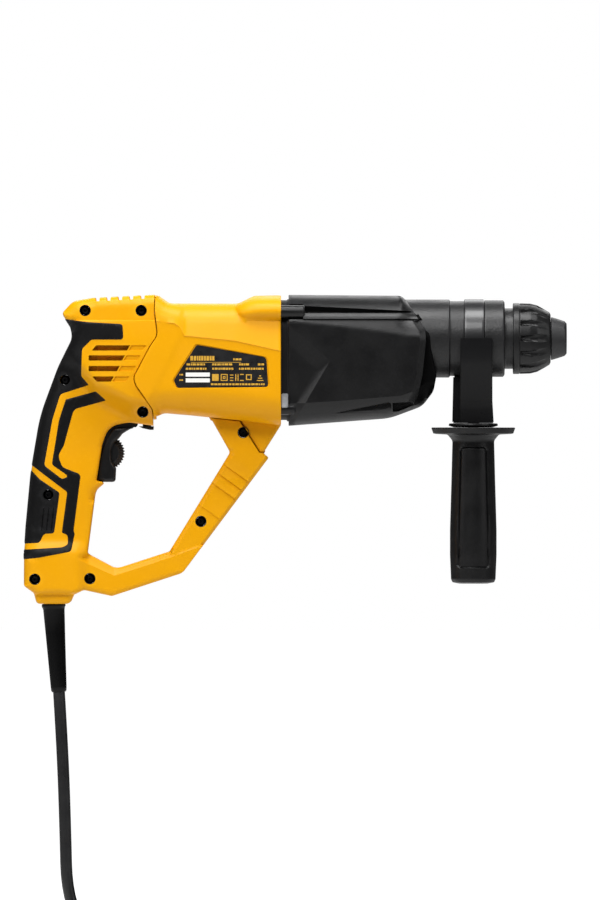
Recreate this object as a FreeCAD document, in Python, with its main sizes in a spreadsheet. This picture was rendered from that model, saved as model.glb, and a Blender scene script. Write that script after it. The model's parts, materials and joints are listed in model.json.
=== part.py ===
import FreeCAD, Part
import math
import os
import re
import Sketcher

# Corded rotary hammer with a D-handle, a side handle and its mains lead.
# Frame: +X along the spindle towards the tool, +Z up, Y = 0 is the plane where the handle
# shells meet. The origin is the centre of the main grip. All sizes are in millimetres.

Vector = FreeCAD.Vector
Rotation = FreeCAD.Rotation
Placement = FreeCAD.Placement

os.makedirs("parts", exist_ok=True)
doc = FreeCAD.newDocument("rotary_hammer")

# ---------------------------------------------------------------- driving dimensions
SIZES = {
    # axes of the three parallel shafts
    "spindle_z": 80.0,
    "countershaft_z": 47.0,
    "motor_z": 66.0,
    # housings
    "shell_wall": 2.6,
    "grip_half_width": 17.0,
    "base_half_width": 20.0,
    "housing_half_width": 39.0,
    "gear_cover_half_width": 38.0,
    "gear_cover_wall": 3.2,
    "rubber_depth": 1.4,
    "housing_front": 149.8,
    "cover_rear": 155.1,
    "screw_recess_radius": 4.0,
    "screw_boss_radius": 5.3,
    "screw_head_radius": 3.7,
    "screw_shank_radius": 1.9,
    # motor
    "stator_radius": 34.5,
    "stator_bore": 21.0,
    "rotor_radius": 20.4,
    "stack_rear": 86.0,
    "stack_front": 131.0,
    "motor_shaft_radius": 4.0,
    "fan_radius": 31.0,
    # gears, all of module 1
    "gear_module": 1.0,
    "motor_pinion_teeth": 8,
    "countershaft_teeth": 30,
    "output_pinion_teeth": 18,
    "spindle_teeth": 48,
    # hammer mechanism
    "wobble_x": 186.0,
    "wobble_sphere_radius": 11.0,
    "piston_radius": 11.95,
    "piston_bore": 9.0,
    "striker_radius": 8.95,
    "spindle_chamber": 12.0,
    # chuck
    "tool_bore_radius": 5.05,
    "spindle_nose_radius": 9.6,
    "ball_x": 324.0,
    "ball_radius": 3.5,
    "ball_centre_radius": 8.7,
    # side handle
    "side_handle_x": 284.4,
    "band_bore": 25.05,
    "band_radius": 27.2,
    "side_bolt_radius": 4.0,
    "side_flange_radius": 29.0,
    # mains lead
    "cord_radius": 4.25,
    "floor_z": -365.0,
    "coil_centre_x": 105.0,
    "coil_centre_y": 60.5,
    "coil_outer_turn": 60.5,
    "coil_columns": 4,
    "coil_layers": 2,
    "plug_pin_radius": 2.4,
    "plug_pin_spacing": 19.0,
}

sheet = doc.addObject("Spreadsheet::Sheet", "Dims")
for row, (alias, number) in enumerate(SIZES.items(), start=1):
    sheet.set("A%d" % row, alias)
    sheet.set("B%d" % row, str(number))
    sheet.setAlias("B%d" % row, alias)
doc.recompute()

SUBPARTS = []


# ---------------------------------------------------------------- helpers
def size(name):
    """A driving dimension, read back from the sheet."""
    return float(sheet.get(name))


def worked_out(value):
    """A number, or sizes joined by + - and *, such as 'band_radius + 4', as a number."""
    if not isinstance(value, str):
        return float(value)
    total = 0.0
    for sign, term in re.findall(r"([+-]?)\s*([a-z_0-9.* ]+)", value):
        product = 1.0
        for factor in term.split("*"):
            factor = factor.strip()
            product *= size(factor) if factor in SIZES else float(factor)
        total += -product if sign == "-" else product
    return total


def expression(value):
    return re.sub(r"[a-z][a-z_]+", lambda word: "Dims." + word.group(0), value)


def set_size(obj, prop, value):
    """Give a property a number, or bind it to the sheet when the value names sizes."""
    if isinstance(value, str):
        obj.setExpression(prop, expression(value))
    else:
        setattr(obj, prop, value)


def subpart(obj, label):
    obj.Label = label
    SUBPARTS.append(obj)
    return obj


def fresh(kind, name):
    return doc.addObject(kind, name)


TURN_TO = {
    "x": Rotation(Vector(0, 1, 0), 90),
    "y": Rotation(Vector(1, 0, 0), -90),
    "z": Rotation(),
}


def cylinder(name, radius, length, at, axis="x"):
    """A cylinder that starts at a point and runs along +X, +Y or +Z."""
    obj = fresh("Part::Cylinder", name)
    set_size(obj, "Radius", radius)
    set_size(obj, "Height", length)
    obj.Placement = Placement(Vector(*[worked_out(v) for v in at]), TURN_TO[axis])
    return obj


def box(name, low, high):
    obj = fresh("Part::Box", name)
    low = [worked_out(v) for v in low]
    high = [worked_out(v) for v in high]
    obj.Length, obj.Width, obj.Height = [b - a for a, b in zip(low, high)]
    obj.Placement = Placement(Vector(*low), Rotation())
    return obj


def cut(name, base, tool):
    obj = fresh("Part::Cut", name)
    obj.Base = base
    obj.Tool = tool
    return obj


def fuse(name, shapes):
    obj = fresh("Part::MultiFuse", name)
    obj.Shapes = shapes
    return obj


def common(name, shapes):
    obj = fresh("Part::MultiCommon", name)
    obj.Shapes = shapes
    return obj


def group(name, shapes):
    """Separate solids that are one sub-part, such as a set of equal screws."""
    obj = fresh("Part::Compound", name)
    obj.Links = shapes
    return obj


def polygon(sketch, points):
    """A closed polygon in a sketch, each corner held by its two distances from the origin."""
    count = len(points)
    flat = [Vector(worked_out(u), worked_out(v), 0) for u, v in points]
    for i in range(count):
        sketch.addGeometry(Part.LineSegment(flat[i], flat[(i + 1) % count]), False)
    for i in range(count):
        sketch.addConstraint(Sketcher.Constraint("Coincident", i, 2, (i + 1) % count, 1))
    for i, corner in enumerate(points):
        for kind, value, place in zip(("DistanceX", "DistanceY"), corner, (flat[i].x, flat[i].y)):
            k = sketch.addConstraint(Sketcher.Constraint(kind, -1, 1, i, 1, place))
            if isinstance(value, str):
                sketch.setExpression("Constraints[%d]" % k, expression(value))


def rounded_edges(points):
    """Lines and tangent arcs through (u, v, corner radius) points, as one closed loop."""
    count = len(points)
    corners = [Vector(p[0], p[1], 0) for p in points]
    edges = []
    starts = []
    ends = []
    arcs = []
    for i, corner in enumerate(corners):
        before = (corners[i - 1] - corner).normalize()
        after = (corners[(i + 1) % count] - corner).normalize()
        radius = points[i][2]
        half = before.getAngle(after) / 2
        if radius == 0 or abs(half - math.pi / 2) < 1e-4:
            starts.append(corner)
            ends.append(corner)
            arcs.append(None)
            continue
        reach = radius / math.tan(half)
        bisector = (before + after).normalize()
        centre = corner + bisector * (radius / math.sin(half))
        middle = centre - bisector * radius
        starts.append(corner + before * reach)
        ends.append(corner + after * reach)
        arcs.append(Part.Arc(starts[i], middle, ends[i]))
    for i in range(count):
        if arcs[i] is not None:
            edges.append(arcs[i])
        edges.append(Part.LineSegment(ends[i], starts[(i + 1) % count]))
    return edges


PLANE_TURN = {
    "XZ": Rotation(Vector(1, 0, 0), 90),
    "YZ": Rotation(Vector(1, 1, 1), 120),
    "XY": Rotation(),
}


def outline(name, points, plane="XZ"):
    """A free sketch of a rounded loop, drawn in one of the three main planes."""
    sketch = fresh("Sketcher::SketchObject", name)
    sketch.Placement = Placement(Vector(0, 0, 0), PLANE_TURN[plane])
    sketch.addGeometry(rounded_edges(points), False)
    return sketch


def slab(name, sketch, half_width, direction=Vector(0, 1, 0)):
    """A loop extruded to both sides of its own plane."""
    obj = fresh("Part::Extrusion", name)
    obj.Base = sketch
    obj.Dir = direction
    obj.DirMode = "Custom"
    obj.Solid = True
    set_size(obj, "LengthFwd", half_width)
    set_size(obj, "LengthRev", half_width)
    return obj


def lathe(label, profile, at=(0, 0, 0), axis="x"):
    """A body turned from an (along, radius) profile; the axis starts at the given point."""
    body = fresh("PartDesign::Body", label)
    sketch = body.newObject("Sketcher::SketchObject", label + "_profile")
    plane = [f for f in body.Origin.OriginFeatures if f.Role == "XZ_Plane"][0]
    sketch.AttachmentSupport = [(plane, "")]
    sketch.MapMode = "FlatFace"
    polygon(sketch, profile)
    turned = body.newObject("PartDesign::Revolution", label + "_turned")
    turned.Profile = sketch
    turned.ReferenceAxis = (sketch, ["H_Axis"])
    turned.Angle = 360
    body.Tip = turned
    turn = {"x": Rotation(), "z": Rotation(Vector(0, 1, 0), -90), "y": Rotation(Vector(0, 0, 1), 90)}
    body.Placement = Placement(Vector(*[worked_out(v) for v in at]), turn[axis])
    return body


def tube(label, inner, outer, start, end, at, axis="x"):
    """A plain ring or bush from start to end along its axis."""
    return lathe(label, [(start, inner), (end, inner), (end, outer), (start, outer)], at, axis)


def gear_wheel(name, teeth, bore, start, end, centre_z, phase=0.0, backlash=0.2):
    """A spur gear of module 1 about an X axis, with straight-flanked teeth."""
    module = size("gear_module")
    count = int(size(teeth))
    pitch = module * count / 2
    root = pitch - 1.2 * module
    tip = pitch + 0.9 * module
    step = 2 * math.pi / count
    # half tooth angles at the root, at the pitch circle and at the tip
    half_pitch = step / 4 - backlash / 2 / pitch
    half_root = min(half_pitch + 0.42 * module / pitch, step * 0.46)
    half_tip = max(half_pitch - 0.36 * module / pitch, 0.12 * step)
    rim = []
    for i in range(count):
        middle = phase + i * step
        for radius, offset in (
            (root, -half_root), (pitch, -half_pitch), (tip, -half_tip),
            (tip, half_tip), (pitch, half_pitch), (root, half_root),
        ):
            angle = middle + offset
            rim.append(Vector(0, radius * math.sin(angle), radius * math.cos(angle)))
    rim.append(rim[0])
    disc = Part.Face(Part.makePolygon(rim)).extrude(Vector(end - start, 0, 0))
    if bore:
        disc = disc.cut(Part.makeCylinder(bore, end - start, Vector(0, 0, 0), Vector(1, 0, 0)))
    wheel = fresh("Part::Feature", name)
    wheel.Shape = disc
    wheel.Placement = Placement(Vector(start, 0, centre_z), Rotation())
    return wheel


# ---------------------------------------------------------------- outlines, as (x, z, corner radius)
HANDLE = [
    (61.6, 110.4, 0), (19.6, 108.4, 30), (4.5, 106.0, 10), (-3.4, 97.5, 3), (3.0, 87.5, 6),
    (4.2, 80.0, 14), (-6.0, 60.0, 60), (-18.6, 26.0, 120), (-25.0, -12.0, 200), (-28.6, -50.0, 0),
    (-29.9, -70.0, 20), (-30.0, -93.0, 3), (-23.0, -98.0, 2), (-21.0, -105.6, 3), (2.2, -105.6, 4),
    (5.0, -99.3, 1), (12.0, -95.9, 4), (31.5, -99.8, 6), (81.0, -84.0, 10), (140.6, -3.6, 3),
    (137.4, 0.0, 0), (134.7, 0.1, 0), (120.9, 22.1, 0), (100.6, 24.4, 0), (114.2, 0.4, 3),
    (71.8, -68.9, 6), (34.5, -81.0, 9), (14.4, -70.3, 2), (19.4, -32.2, 12), (20.4, -26.0, 8),
    (27.0, -20.8, 0), (20.6, -19.4, 0), (24.8, 6.0, 16), (29.5, 18.5, 12), (43.0, 21.4, 20),
    (60.4, 18.9, 0), (60.2, 30.0, 8), (48.3, 47.0, 8), (46.6, 52.5, 8), (58.0, 74.0, 10),
    (63.4, 82.0, 8), (61.3, 99.0, 30),
]
REAR_HOUSING = [
    (61.6, 110.4, 0), (19.6, 108.4, 30), (4.5, 106.0, 10), (-3.4, 97.5, 3), (3.0, 87.5, 6),
    (4.2, 80.0, 14), (2.0, 60.0, 12), (18.0, 34.0, 20), (44.0, 24.0, 20), (60.5, 22.0, 0),
    (60.2, 30.0, 8), (48.3, 47.0, 8), (46.6, 52.5, 8), (58.0, 74.0, 10), (63.4, 82.0, 8),
    (61.3, 99.0, 30),
]
REAR_CAVITY = [
    (90.0, 107.6, 0), (19.0, 105.6, 24), (6.5, 102.5, 6), (8.0, 82.0, 8), (7.0, 60.0, 10),
    (22.0, 38.0, 16), (46.0, 29.0, 8), (90.0, 29.0, 0),
]
GRIP_CAVITY = [
    (44.0, 40.0, 6), (10.0, 60.0, 10), (-4.0, 58.0, 4), (-15.6, 26.0, 40), (-22.2, -12.0, 100),
    (-26.6, -60.0, 20), (-27.2, -90.0, 4), (-16.0, -94.0, 4), (10.0, -93.0, 4), (31.0, -96.6, 6),
    (79.0, -81.6, 10), (118.0, -28.0, 4), (112.0, -14.0, 4), (74.0, -74.0, 10), (34.0, -84.4, 12),
    (11.0, -71.5, 4), (16.6, -30.0, 20), (17.0, -18.0, 4), (21.6, 9.0, 16), (27.0, 22.0, 12),
    (44.0, 25.0, 6),
]
BASE = [
    (-30.0, -66.0, 4), (-30.0, -93.0, 3), (-23.0, -98.0, 2), (-21.0, -105.6, 3), (2.2, -105.6, 4),
    (5.0, -99.3, 1), (12.0, -95.9, 2), (14.0, -74.0, 4), (4.0, -66.0, 6),
]
MOTOR_HOUSING = [
    (149.8, 110.2, 1), (131.0, 109.8, 8), (120.0, 104.3, 10), (72.0, 104.4, 8), (64.8, 109.6, 0),
    (62.6, 110.0, 0), (61.8, 99.0, 30), (63.9, 82.0, 8), (58.5, 74.0, 10), (47.1, 52.5, 8),
    (48.8, 47.0, 8), (60.7, 30.0, 8), (61.0, 22.6, 0), (64.0, 27.8, 4), (86.8, 26.2, 0),
    (121.4, 22.4, 0), (135.0, 0.4, 0), (137.6, 0.6, 2), (149.8, 19.2, 2),
]
GEAR_COVER = [
    (155.1, 109.6, 0), (234.0, 109.2, 6), (243.5, 99.4, 20), (254.0, 84.6, 4), (254.6, 72.0, 20),
    (258.6, 52.5, 6), (249.0, 35.0, 20), (226.0, 25.8, 30), (160.0, 20.6, 0), (155.1, 19.2, 0),
]
GEAR_CAVITY = [
    (150.0, 106.4, 0), (233.0, 106.0, 6), (236.0, 100.0, 3), (236.0, 58.0, 3), (229.5, 54.0, 2),
    (229.5, 32.0, 4), (214.0, 28.4, 20), (150.0, 24.0, 0),
]
LABEL = [
    (91.0, 75.4, 2), (139.5, 66.6, 3), (141.0, 46.0, 2), (77.4, 45.4, 2), (75.0, 50.6, 2),
]
# rubber inlays of the right side: the upper and back piece, the chevron, the low back patch
RUBBER_BACK = [
    (-6.0, 96.0, 0), (0.3, 93.3, 0), (16.0, 91.2, 20), (39.3, 89.9, 2), (39.9, 79.0, 2),
    (17.5, 79.0, 3), (11.0, 72.5, 3), (10.3, 53.6, 5), (15.4, 47.9, 2), (-4.4, 41.4, 3),
    (-10.0, 23.0, 30), (-15.7, -8.8, 3), (-3.2, -18.3, 2), (1.4, -16.4, 1), (-10.4, -8.2, 3),
    (-5.4, 23.0, 30), (-0.6, 37.4, 1), (19.6, 43.4, 3), (26.7, 36.8, 2), (5.0, 30.4, 5),
    (-2.0, 5.0, 6), (-6.0, -2.0, 6), (-3.0, -10.0, 5), (9.9, -15.0, 3), (4.6, -55.0, 8),
    (3.0, -69.0, 4), (-19.3, -73.3, 3), (-34.0, -75.0, 0), (-34.0, -68.0, 0), (-3.6, -65.7, 5),
    (1.0, -61.5, 2), (-3.8, -56.0, 2), (0.4, -27.4, 2), (-24.0, -9.0, 0), (-34.0, 0.0, 0),
    (-24.0, 60.0, 0),
]
RUBBER_LOW = [
    (-34.0, -11.0, 0), (-24.5, -12.0, 0), (-18.9, -18.2, 4), (-4.9, -27.6, 2), (-8.8, -56.3, 2),
    (-16.0, -56.6, 3), (-18.9, -62.9, 3), (-34.0, -63.8, 0),
]
TRIGGER = [
    (48.4, 17.8, 1), (44.0, 16.6, 6), (38.8, 13.4, 4), (37.2, 10.0, 2), (38.0, 8.0, 1),
    (35.4, -10.0, 1), (34.4, -13.0, 2), (33.5, -20.2, 2), (23.6, -20.2, 1), (25.4, -2.0, 20),
    (28.6, 10.0, 10), (34.0, 18.2, 4),
]
LEVER = [(50.2, 18.6, 0), (53.0, 17.2, 2), (58.0, 16.1, 3), (60.6, 16.1, 0.5), (60.8, 18.6, 0)]

# screws of the handle shells: (x, z, distance of the outer face from the middle plane)
FOOT_SCREW = (122.2, 13.0)
GRIP_SCREWS = [(-12.9, -29.3), (93.8, -47.9), FOOT_SCREW]
BASE_SCREWS = [(-22.2, -88.3)]
LOW_SCREWS = [(16.2, -87.9)]
HOUSING_SCREWS = [(13.1, 99.4), (52.3, 99.3), (-1.2, 51.0), (53.3, 28.6)]


def rear_half_width(x):
    """The rear housing widens from its back edge to the seam with the motor housing."""
    back = 27.0
    return back + (size("housing_half_width") - back) * (x + 4.0) / 67.0


def screw_seats():
    """Every handle screw as (x, z, half width of the shell there)."""
    seats = [(x, z, size("grip_half_width")) for x, z in GRIP_SCREWS + LOW_SCREWS]
    seats += [(x, z, size("base_half_width")) for x, z in BASE_SCREWS]
    for x, z in HOUSING_SCREWS:
        deep = size("grip_half_width") if z < 60 else rear_half_width(x)
        seats.append((x, z, deep))
    return seats


# ---------------------------------------------------------------- handle shells and rubber
def handle_envelope(tag, inset):
    """The outside of both handle shells, with every side face set in by the inset."""
    grip = slab("handle_slab_" + tag, outline("handle_loop_" + tag, HANDLE),
                "grip_half_width - %g" % inset)
    base = slab("base_slab_" + tag, outline("base_loop_" + tag, BASE),
                "base_half_width - %g" % inset)
    rear = slab("rear_slab_" + tag, outline("rear_loop_" + tag, REAR_HOUSING),
                "housing_half_width - %g" % inset)
    plan = [(-6.0, rear_half_width(-6.0) - inset, 8), (66.0, rear_half_width(66.0) - inset, 0),
            (66.0, inset - rear_half_width(66.0), 0), (-6.0, inset - rear_half_width(-6.0), 8)]
    taper = slab("rear_taper_" + tag, outline("rear_plan_" + tag, plan, "XY"), 130.0,
                 Vector(0, 0, 1))
    tapered = common("rear_tapered_" + tag, [rear, taper])
    return fuse("handle_outside_" + tag, [grip, base, tapered])


def handle_cavity():
    grip = slab("grip_hollow", outline("grip_cavity_loop", GRIP_CAVITY),
                "grip_half_width - shell_wall")
    rear = slab("rear_hollow", outline("rear_cavity_loop", REAR_CAVITY),
                "housing_half_width - shell_wall")
    wall = size("shell_wall")
    plan = [(-6.0, rear_half_width(-6.0) - wall, 6), (90.0, rear_half_width(66.0) - wall, 0),
            (90.0, wall - rear_half_width(66.0), 0), (-6.0, wall - rear_half_width(-6.0), 6)]
    taper = slab("rear_hollow_taper", outline("rear_hollow_plan", plan, "XY"), 130.0,
                 Vector(0, 0, 1))
    return fuse("handle_hollow", [grip, common("rear_hollow_tapered", [rear, taper])])


def handle_parts():
    outside = handle_envelope("outer", 0.0)
    under_rubber = handle_envelope("under", size("rubber_depth"))
    hollow = handle_cavity()
    walls = cut("handle_walls", outside, hollow)
    bosses = []
    recesses = []
    for i, (x, z, half) in enumerate(screw_seats()):
        bosses.append(cylinder("screw_boss_%d" % i, "screw_boss_radius", 2 * half - 2,
                               (x, 1 - half, z), "y"))
        recesses.append(cylinder("recess_right_%d" % i, "screw_recess_radius", 6.0,
                                 (x, -half - 1, z), "y"))
        recesses.append(cylinder("shank_hole_%d" % i, 2.0, 2 * half - 8, (x, -half + 4, z), "y"))
    bossed = fuse("handle_walls_bossed", [walls] + bosses)
    # openings of both shells: the trigger, the lever pivot, the lead, the motor behind the seam
    openings = fuse("handle_openings", recesses + [
        box("trigger_slot", (10, -9.7, -21.4), (46.5, 9.7, 19.2)),
        cylinder("lever_hole", 3.1, 12, (56, 0, 16), "z"),
        cylinder("lead_hole", 6.1, 20, (-9.4, 0, -112), "z"),
        cylinder("motor_room", 33.6, 60, (44, 0, "motor_z")),
    ])
    shells = cut("handle_shells_both", bossed, openings)
    rubber_zone = fuse("rubber_zone", [
        slab("rubber_back", outline("rubber_back_loop", RUBBER_BACK), 60.0),
        slab("rubber_low", outline("rubber_low_loop", RUBBER_LOW), 60.0),
    ])
    rubber_skin = cut("rubber_skin", common("rubber_whole", [rubber_zone, outside]), under_rubber)
    rubber = cut("rubber_both", rubber_skin, openings)
    bare = cut("handle_shells_bare", shells, rubber_skin)
    sides = {"right": ((-60, -60, -130), (160, 0, 130)), "left": ((-60, 0, -130), (160, 60, 130))}
    for side, (low, high) in sides.items():
        half_space = box("half_space_" + side, low, high)
        subpart(common("shell_" + side, [bare, half_space]), "handle_shell_" + side)
        subpart(common("rubber_" + side, [rubber, half_space]), "grip_overmould_" + side)


def handle_screws():
    screws = []
    for i, (x, z, half) in enumerate(screw_seats()):
        head = cylinder("screw_head_%d" % i, "screw_head_radius", 2.4, (x, 2.5 - half, z), "y")
        shank = cylinder("screw_shank_%d" % i, "screw_shank_radius", half + 6,
                         (x, 4.5 - half, z), "y")
        socket = cylinder("screw_socket_%d" % i, 1.6, 1.4, (x, 2.4 - half, z), "y")
        screws.append(cut("screw_%d" % i, fuse("screw_solid_%d" % i, [head, shank]), socket))
    subpart(group("handle_screw_set", screws), "handle_screws")


# ---------------------------------------------------------------- motor housing and gear cover
def section(name, low_z, high_z, half_width, radius, length):
    """A rounded-square tube along X that gives a housing its cross-section."""
    loop = [(-half_width, low_z, radius), (half_width, low_z, radius),
            (half_width, high_z, radius), (-half_width, high_z, radius)]
    return slab(name, outline(name + "_loop", loop, "YZ"), length, Vector(1, 0, 0))


def motor_housing():
    side = slab("motor_side", outline("motor_loop", MOTOR_HOUSING), "housing_half_width")
    half_width = size("housing_half_width")
    rounding = section("motor_section", 19.0, 112.0, half_width, 25.0, 300.0)
    tube_part = common("motor_tube", [side, rounding])
    foot = common("motor_foot", [
        slab("foot_slab", outline("foot_loop", MOTOR_HOUSING), "grip_half_width"),
        box("foot_space", (100, -20, -5), (160, 20, 40)),
    ])
    bore = fuse("motor_bores", [
        cylinder("motor_bore", "stator_radius + 0.8", 80, (82, 0, "motor_z")),
        cylinder("brush_bore", 33.0, 60, (40, 0, "motor_z")),
    ])
    recess = cylinder("foot_hole", "screw_boss_radius + 0.3", 60,
                      (FOOT_SCREW[0], -30, FOOT_SCREW[1]), "y")
    body = cut("motor_housing_bored", fuse("motor_housing_solid", [tube_part, foot]), bore)
    subpart(cut("motor_housing_done", body, recess), "motor_housing")
    label = fresh("Part::Extrusion", "label_plate")
    label.Base = outline("label_loop", LABEL)
    label.DirMode = "Custom"
    label.Dir = Vector(0, -1, 0)
    label.Solid = True
    label.LengthFwd = 0.4
    label.Placement = Placement(Vector(0, -half_width, 0), Rotation())
    subpart(label, "rating_label")


CASE_SCREWS = [(33.5, 98.5), (-33.5, 98.5), (33.5, 31.0), (-33.5, 31.0)]


def flange_and_cover():
    rear = size("housing_front")
    cover_rear = size("cover_rear")
    gap_plate = common("gap_plate", [
        section("gap_section", 22.0, 107.5, 36.0, 22.0, 300.0),
        box("gap_space", (rear, -60, 0), (cover_rear, 60, 130)),
    ])
    step = common("flange_step", [
        section("step_section", 25.4, 105.8, 34.2, 19.0, 300.0),
        box("step_space", (cover_rear, -60, 0), (163.0, 60, 130)),
    ])
    lugs = [cylinder("case_lug_%d" % i, 4.9, 14.6, (rear, y, z))
            for i, (y, z) in enumerate(CASE_SCREWS)]
    holes = [cylinder("case_hole_%d" % i, 2.5, 14.6, (rear, y, z))
             for i, (y, z) in enumerate(CASE_SCREWS)]
    holes += [
        cylinder("bearing_seat_motor", 11.0, 7.4, (rear - 0.1, 0, "motor_z")),
        cylinder("pinion_hole", 5.4, 20, (rear, 0, "motor_z")),
        cylinder("bearing_seat_counter", 8.0, 8, (158, 0, "countershaft_z")),
    ]
    solid = fuse("flange_solid", [gap_plate, step] + lugs)
    subpart(cut("flange_done", solid, fuse("flange_holes", holes)), "intermediate_flange")

    screws = []
    for i, (y, z) in enumerate(CASE_SCREWS):
        head = cylinder("case_screw_head_%d" % i, 4.2, 4.0, (rear + 14.6, y, z))
        shank = cylinder("case_screw_shank_%d" % i, 2.45, 14.6, (rear, y, z))
        screws.append(fuse("case_screw_%d" % i, [head, shank]))
    subpart(group("case_screw_set", screws), "gear_case_screws")

    half = size("gear_cover_half_width")
    wall = size("gear_cover_wall")
    outside = common("cover_outside", [
        slab("cover_slab", outline("cover_loop", GEAR_COVER), "gear_cover_half_width"),
        section("cover_section", 19.0, 110.0, half, 22.0, 400.0),
    ])
    hollow = common("cover_hollow", [
        slab("cover_hollow_slab", outline("cover_cavity_loop", GEAR_CAVITY),
             "gear_cover_half_width - gear_cover_wall"),
        section("cover_hollow_section", 24.4, 106.4, half - wall, 19.4, 400.0),
    ])
    lug_rooms = [cylinder("lug_room_%d" % i, 5.1, 20, (rear, y, z))
                 for i, (y, z) in enumerate(CASE_SCREWS)]
    openings = fuse("cover_openings", [hollow] + lug_rooms + [
        cylinder("barrel_spigot_hole", 24.5, 60, (228, 0, "spindle_z")),
        cylinder("barrel_hole", 27.0, 60, (240, 0, "spindle_z")),
        cylinder("needle_seat", 6.0, 10, (229, 0, "countershaft_z")),
        cylinder("knob_seat", 10.0, 12, (202, 30, "countershaft_z + 3.3"), "y"),
    ])
    subpart(cut("gear_cover_done", outside, openings), "gear_cover")


def front_barrel():
    profile = [
        (226.0, 20.0), (240.0, 20.0), (240.0, 21.0), (262.0, 21.0), (262.0, 18.0), (274.0, 18.0),
        (274.0, 17.6), (311.4, 17.6), (311.4, 21.0), (306.6, 21.0), (306.6, 25.4), (305.2, 26.5),
        (291.9, 26.5), (291.9, "band_bore - 0.05"), (277.9, "band_bore - 0.05"), (277.9, 25.7),
        (267.7, 25.7), (267.4, 26.9), (240.2, 26.9), (240.2, 24.4), (226.0, 24.4),
    ]
    subpart(lathe("front_barrel", profile, (0, 0, "spindle_z")), "front_barrel")


# ---------------------------------------------------------------- motor
def motor():
    axis = (0, 0, "motor_z")
    shaft = "motor_shaft_radius"
    subpart(tube("stator_core", "stator_bore", "stator_radius", "stack_rear", "stack_front", axis),
            "stator_core")
    coils = []
    for i, (start, end) in enumerate(((79.5, 85.9), (131.1, 136.5))):
        for j, side in enumerate((-1, 1)):
            ring = tube("stator_coil_%d%d" % (i, j), 22.5, 32.0, start, end, axis)
            part = box("coil_space_%d%d" % (i, j), (start - 1, -40, size("motor_z") + side * 22 - 18),
                       (end + 1, 40, size("motor_z") + side * 22 + 18))
            coils.append(common("stator_winding_%d%d" % (i, j), [ring, part]))
    subpart(group("stator_winding_set", coils), "stator_windings")

    pinion = gear_wheel("motor_pinion", "motor_pinion_teeth", 0, 163.6, 176.0, size("motor_z"))
    pin = cylinder("motor_shaft", shaft, 114.0, (50, 0, "motor_z"))
    neck = cylinder("motor_shaft_neck", 2.7, 13.0, (163.0, 0, "motor_z"))
    subpart(fuse("armature_shaft_solid", [pin, neck, pinion]), "armature_shaft")
    subpart(tube("armature_core", shaft, "rotor_radius", "stack_rear", "stack_front", axis),
            "armature_core")
    ends = [
        tube("winding_rear", shaft, 17.0, 81.0, 86.0, axis),
        tube("winding_front", shaft, 17.0, 131.0, 137.0, axis),
    ]
    subpart(group("winding_set", ends), "armature_windings")
    subpart(tube("commutator", shaft, 12.0, 66.0, 80.0, axis), "commutator")

    hub = tube("fan_hub", shaft, 9.0, 138.5, 147.0, axis)
    disc = tube("fan_disc", 8.0, "fan_radius", 145.2, 147.0, axis)
    blades = []
    blade_count = 11
    for i in range(blade_count):
        blade = box("fan_blade_%d" % i, (139.0, -0.8, 8.0), (146.0, 0.8, 30.0))
        turn = Rotation(Vector(1, 0, 0), 360.0 * i / blade_count)
        blade.Placement = Placement(Vector(0, 0, size("motor_z")), turn).multiply(blade.Placement)
        blades.append(blade)
    subpart(fuse("fan_solid", [hub, disc] + blades), "cooling_fan")

    subpart(tube("motor_rear_bearing", shaft, 11.0, 51.0, 58.0, axis), "motor_rear_bearing")
    subpart(tube("motor_front_bearing", shaft, 11.0, 150.0, 157.0, axis), "motor_front_bearing")
    bracket = lathe("motor_rear_bracket_turned", [
        (49.0, 5.0), (50.8, 5.0), (50.8, 11.0), (64.0, 11.0), (64.0, 32.8), (60.5, 32.8),
        (60.5, 13.5), (49.0, 13.5),
    ], axis)
    subpart(bracket, "motor_rear_bracket")

    holders = []
    brushes = []
    for side in (-1, 1):
        name = "right" if side < 0 else "left"
        near, far = sorted((side * 13.4, side * 30.0))
        tall = size("motor_z")
        outer = box("holder_" + name, (67.0, near, tall - 5.5), (79.0, far, tall + 5.5))
        near, far = sorted((side * 12.0, side * 31.0))
        inner = box("holder_hole_" + name, (69.0, near, tall - 3.2), (77.0, far, tall + 3.2))
        holders.append(cut("brush_holder_" + name, outer, inner))
        near, far = sorted((side * 12.1, side * 26.0))
        brushes.append(box("brush_" + name, (69.1, near, tall - 3.1), (76.9, far, tall + 3.1)))
    subpart(group("holder_set", holders), "brush_holders")
    subpart(group("brush_set", brushes), "carbon_brushes")


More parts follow.
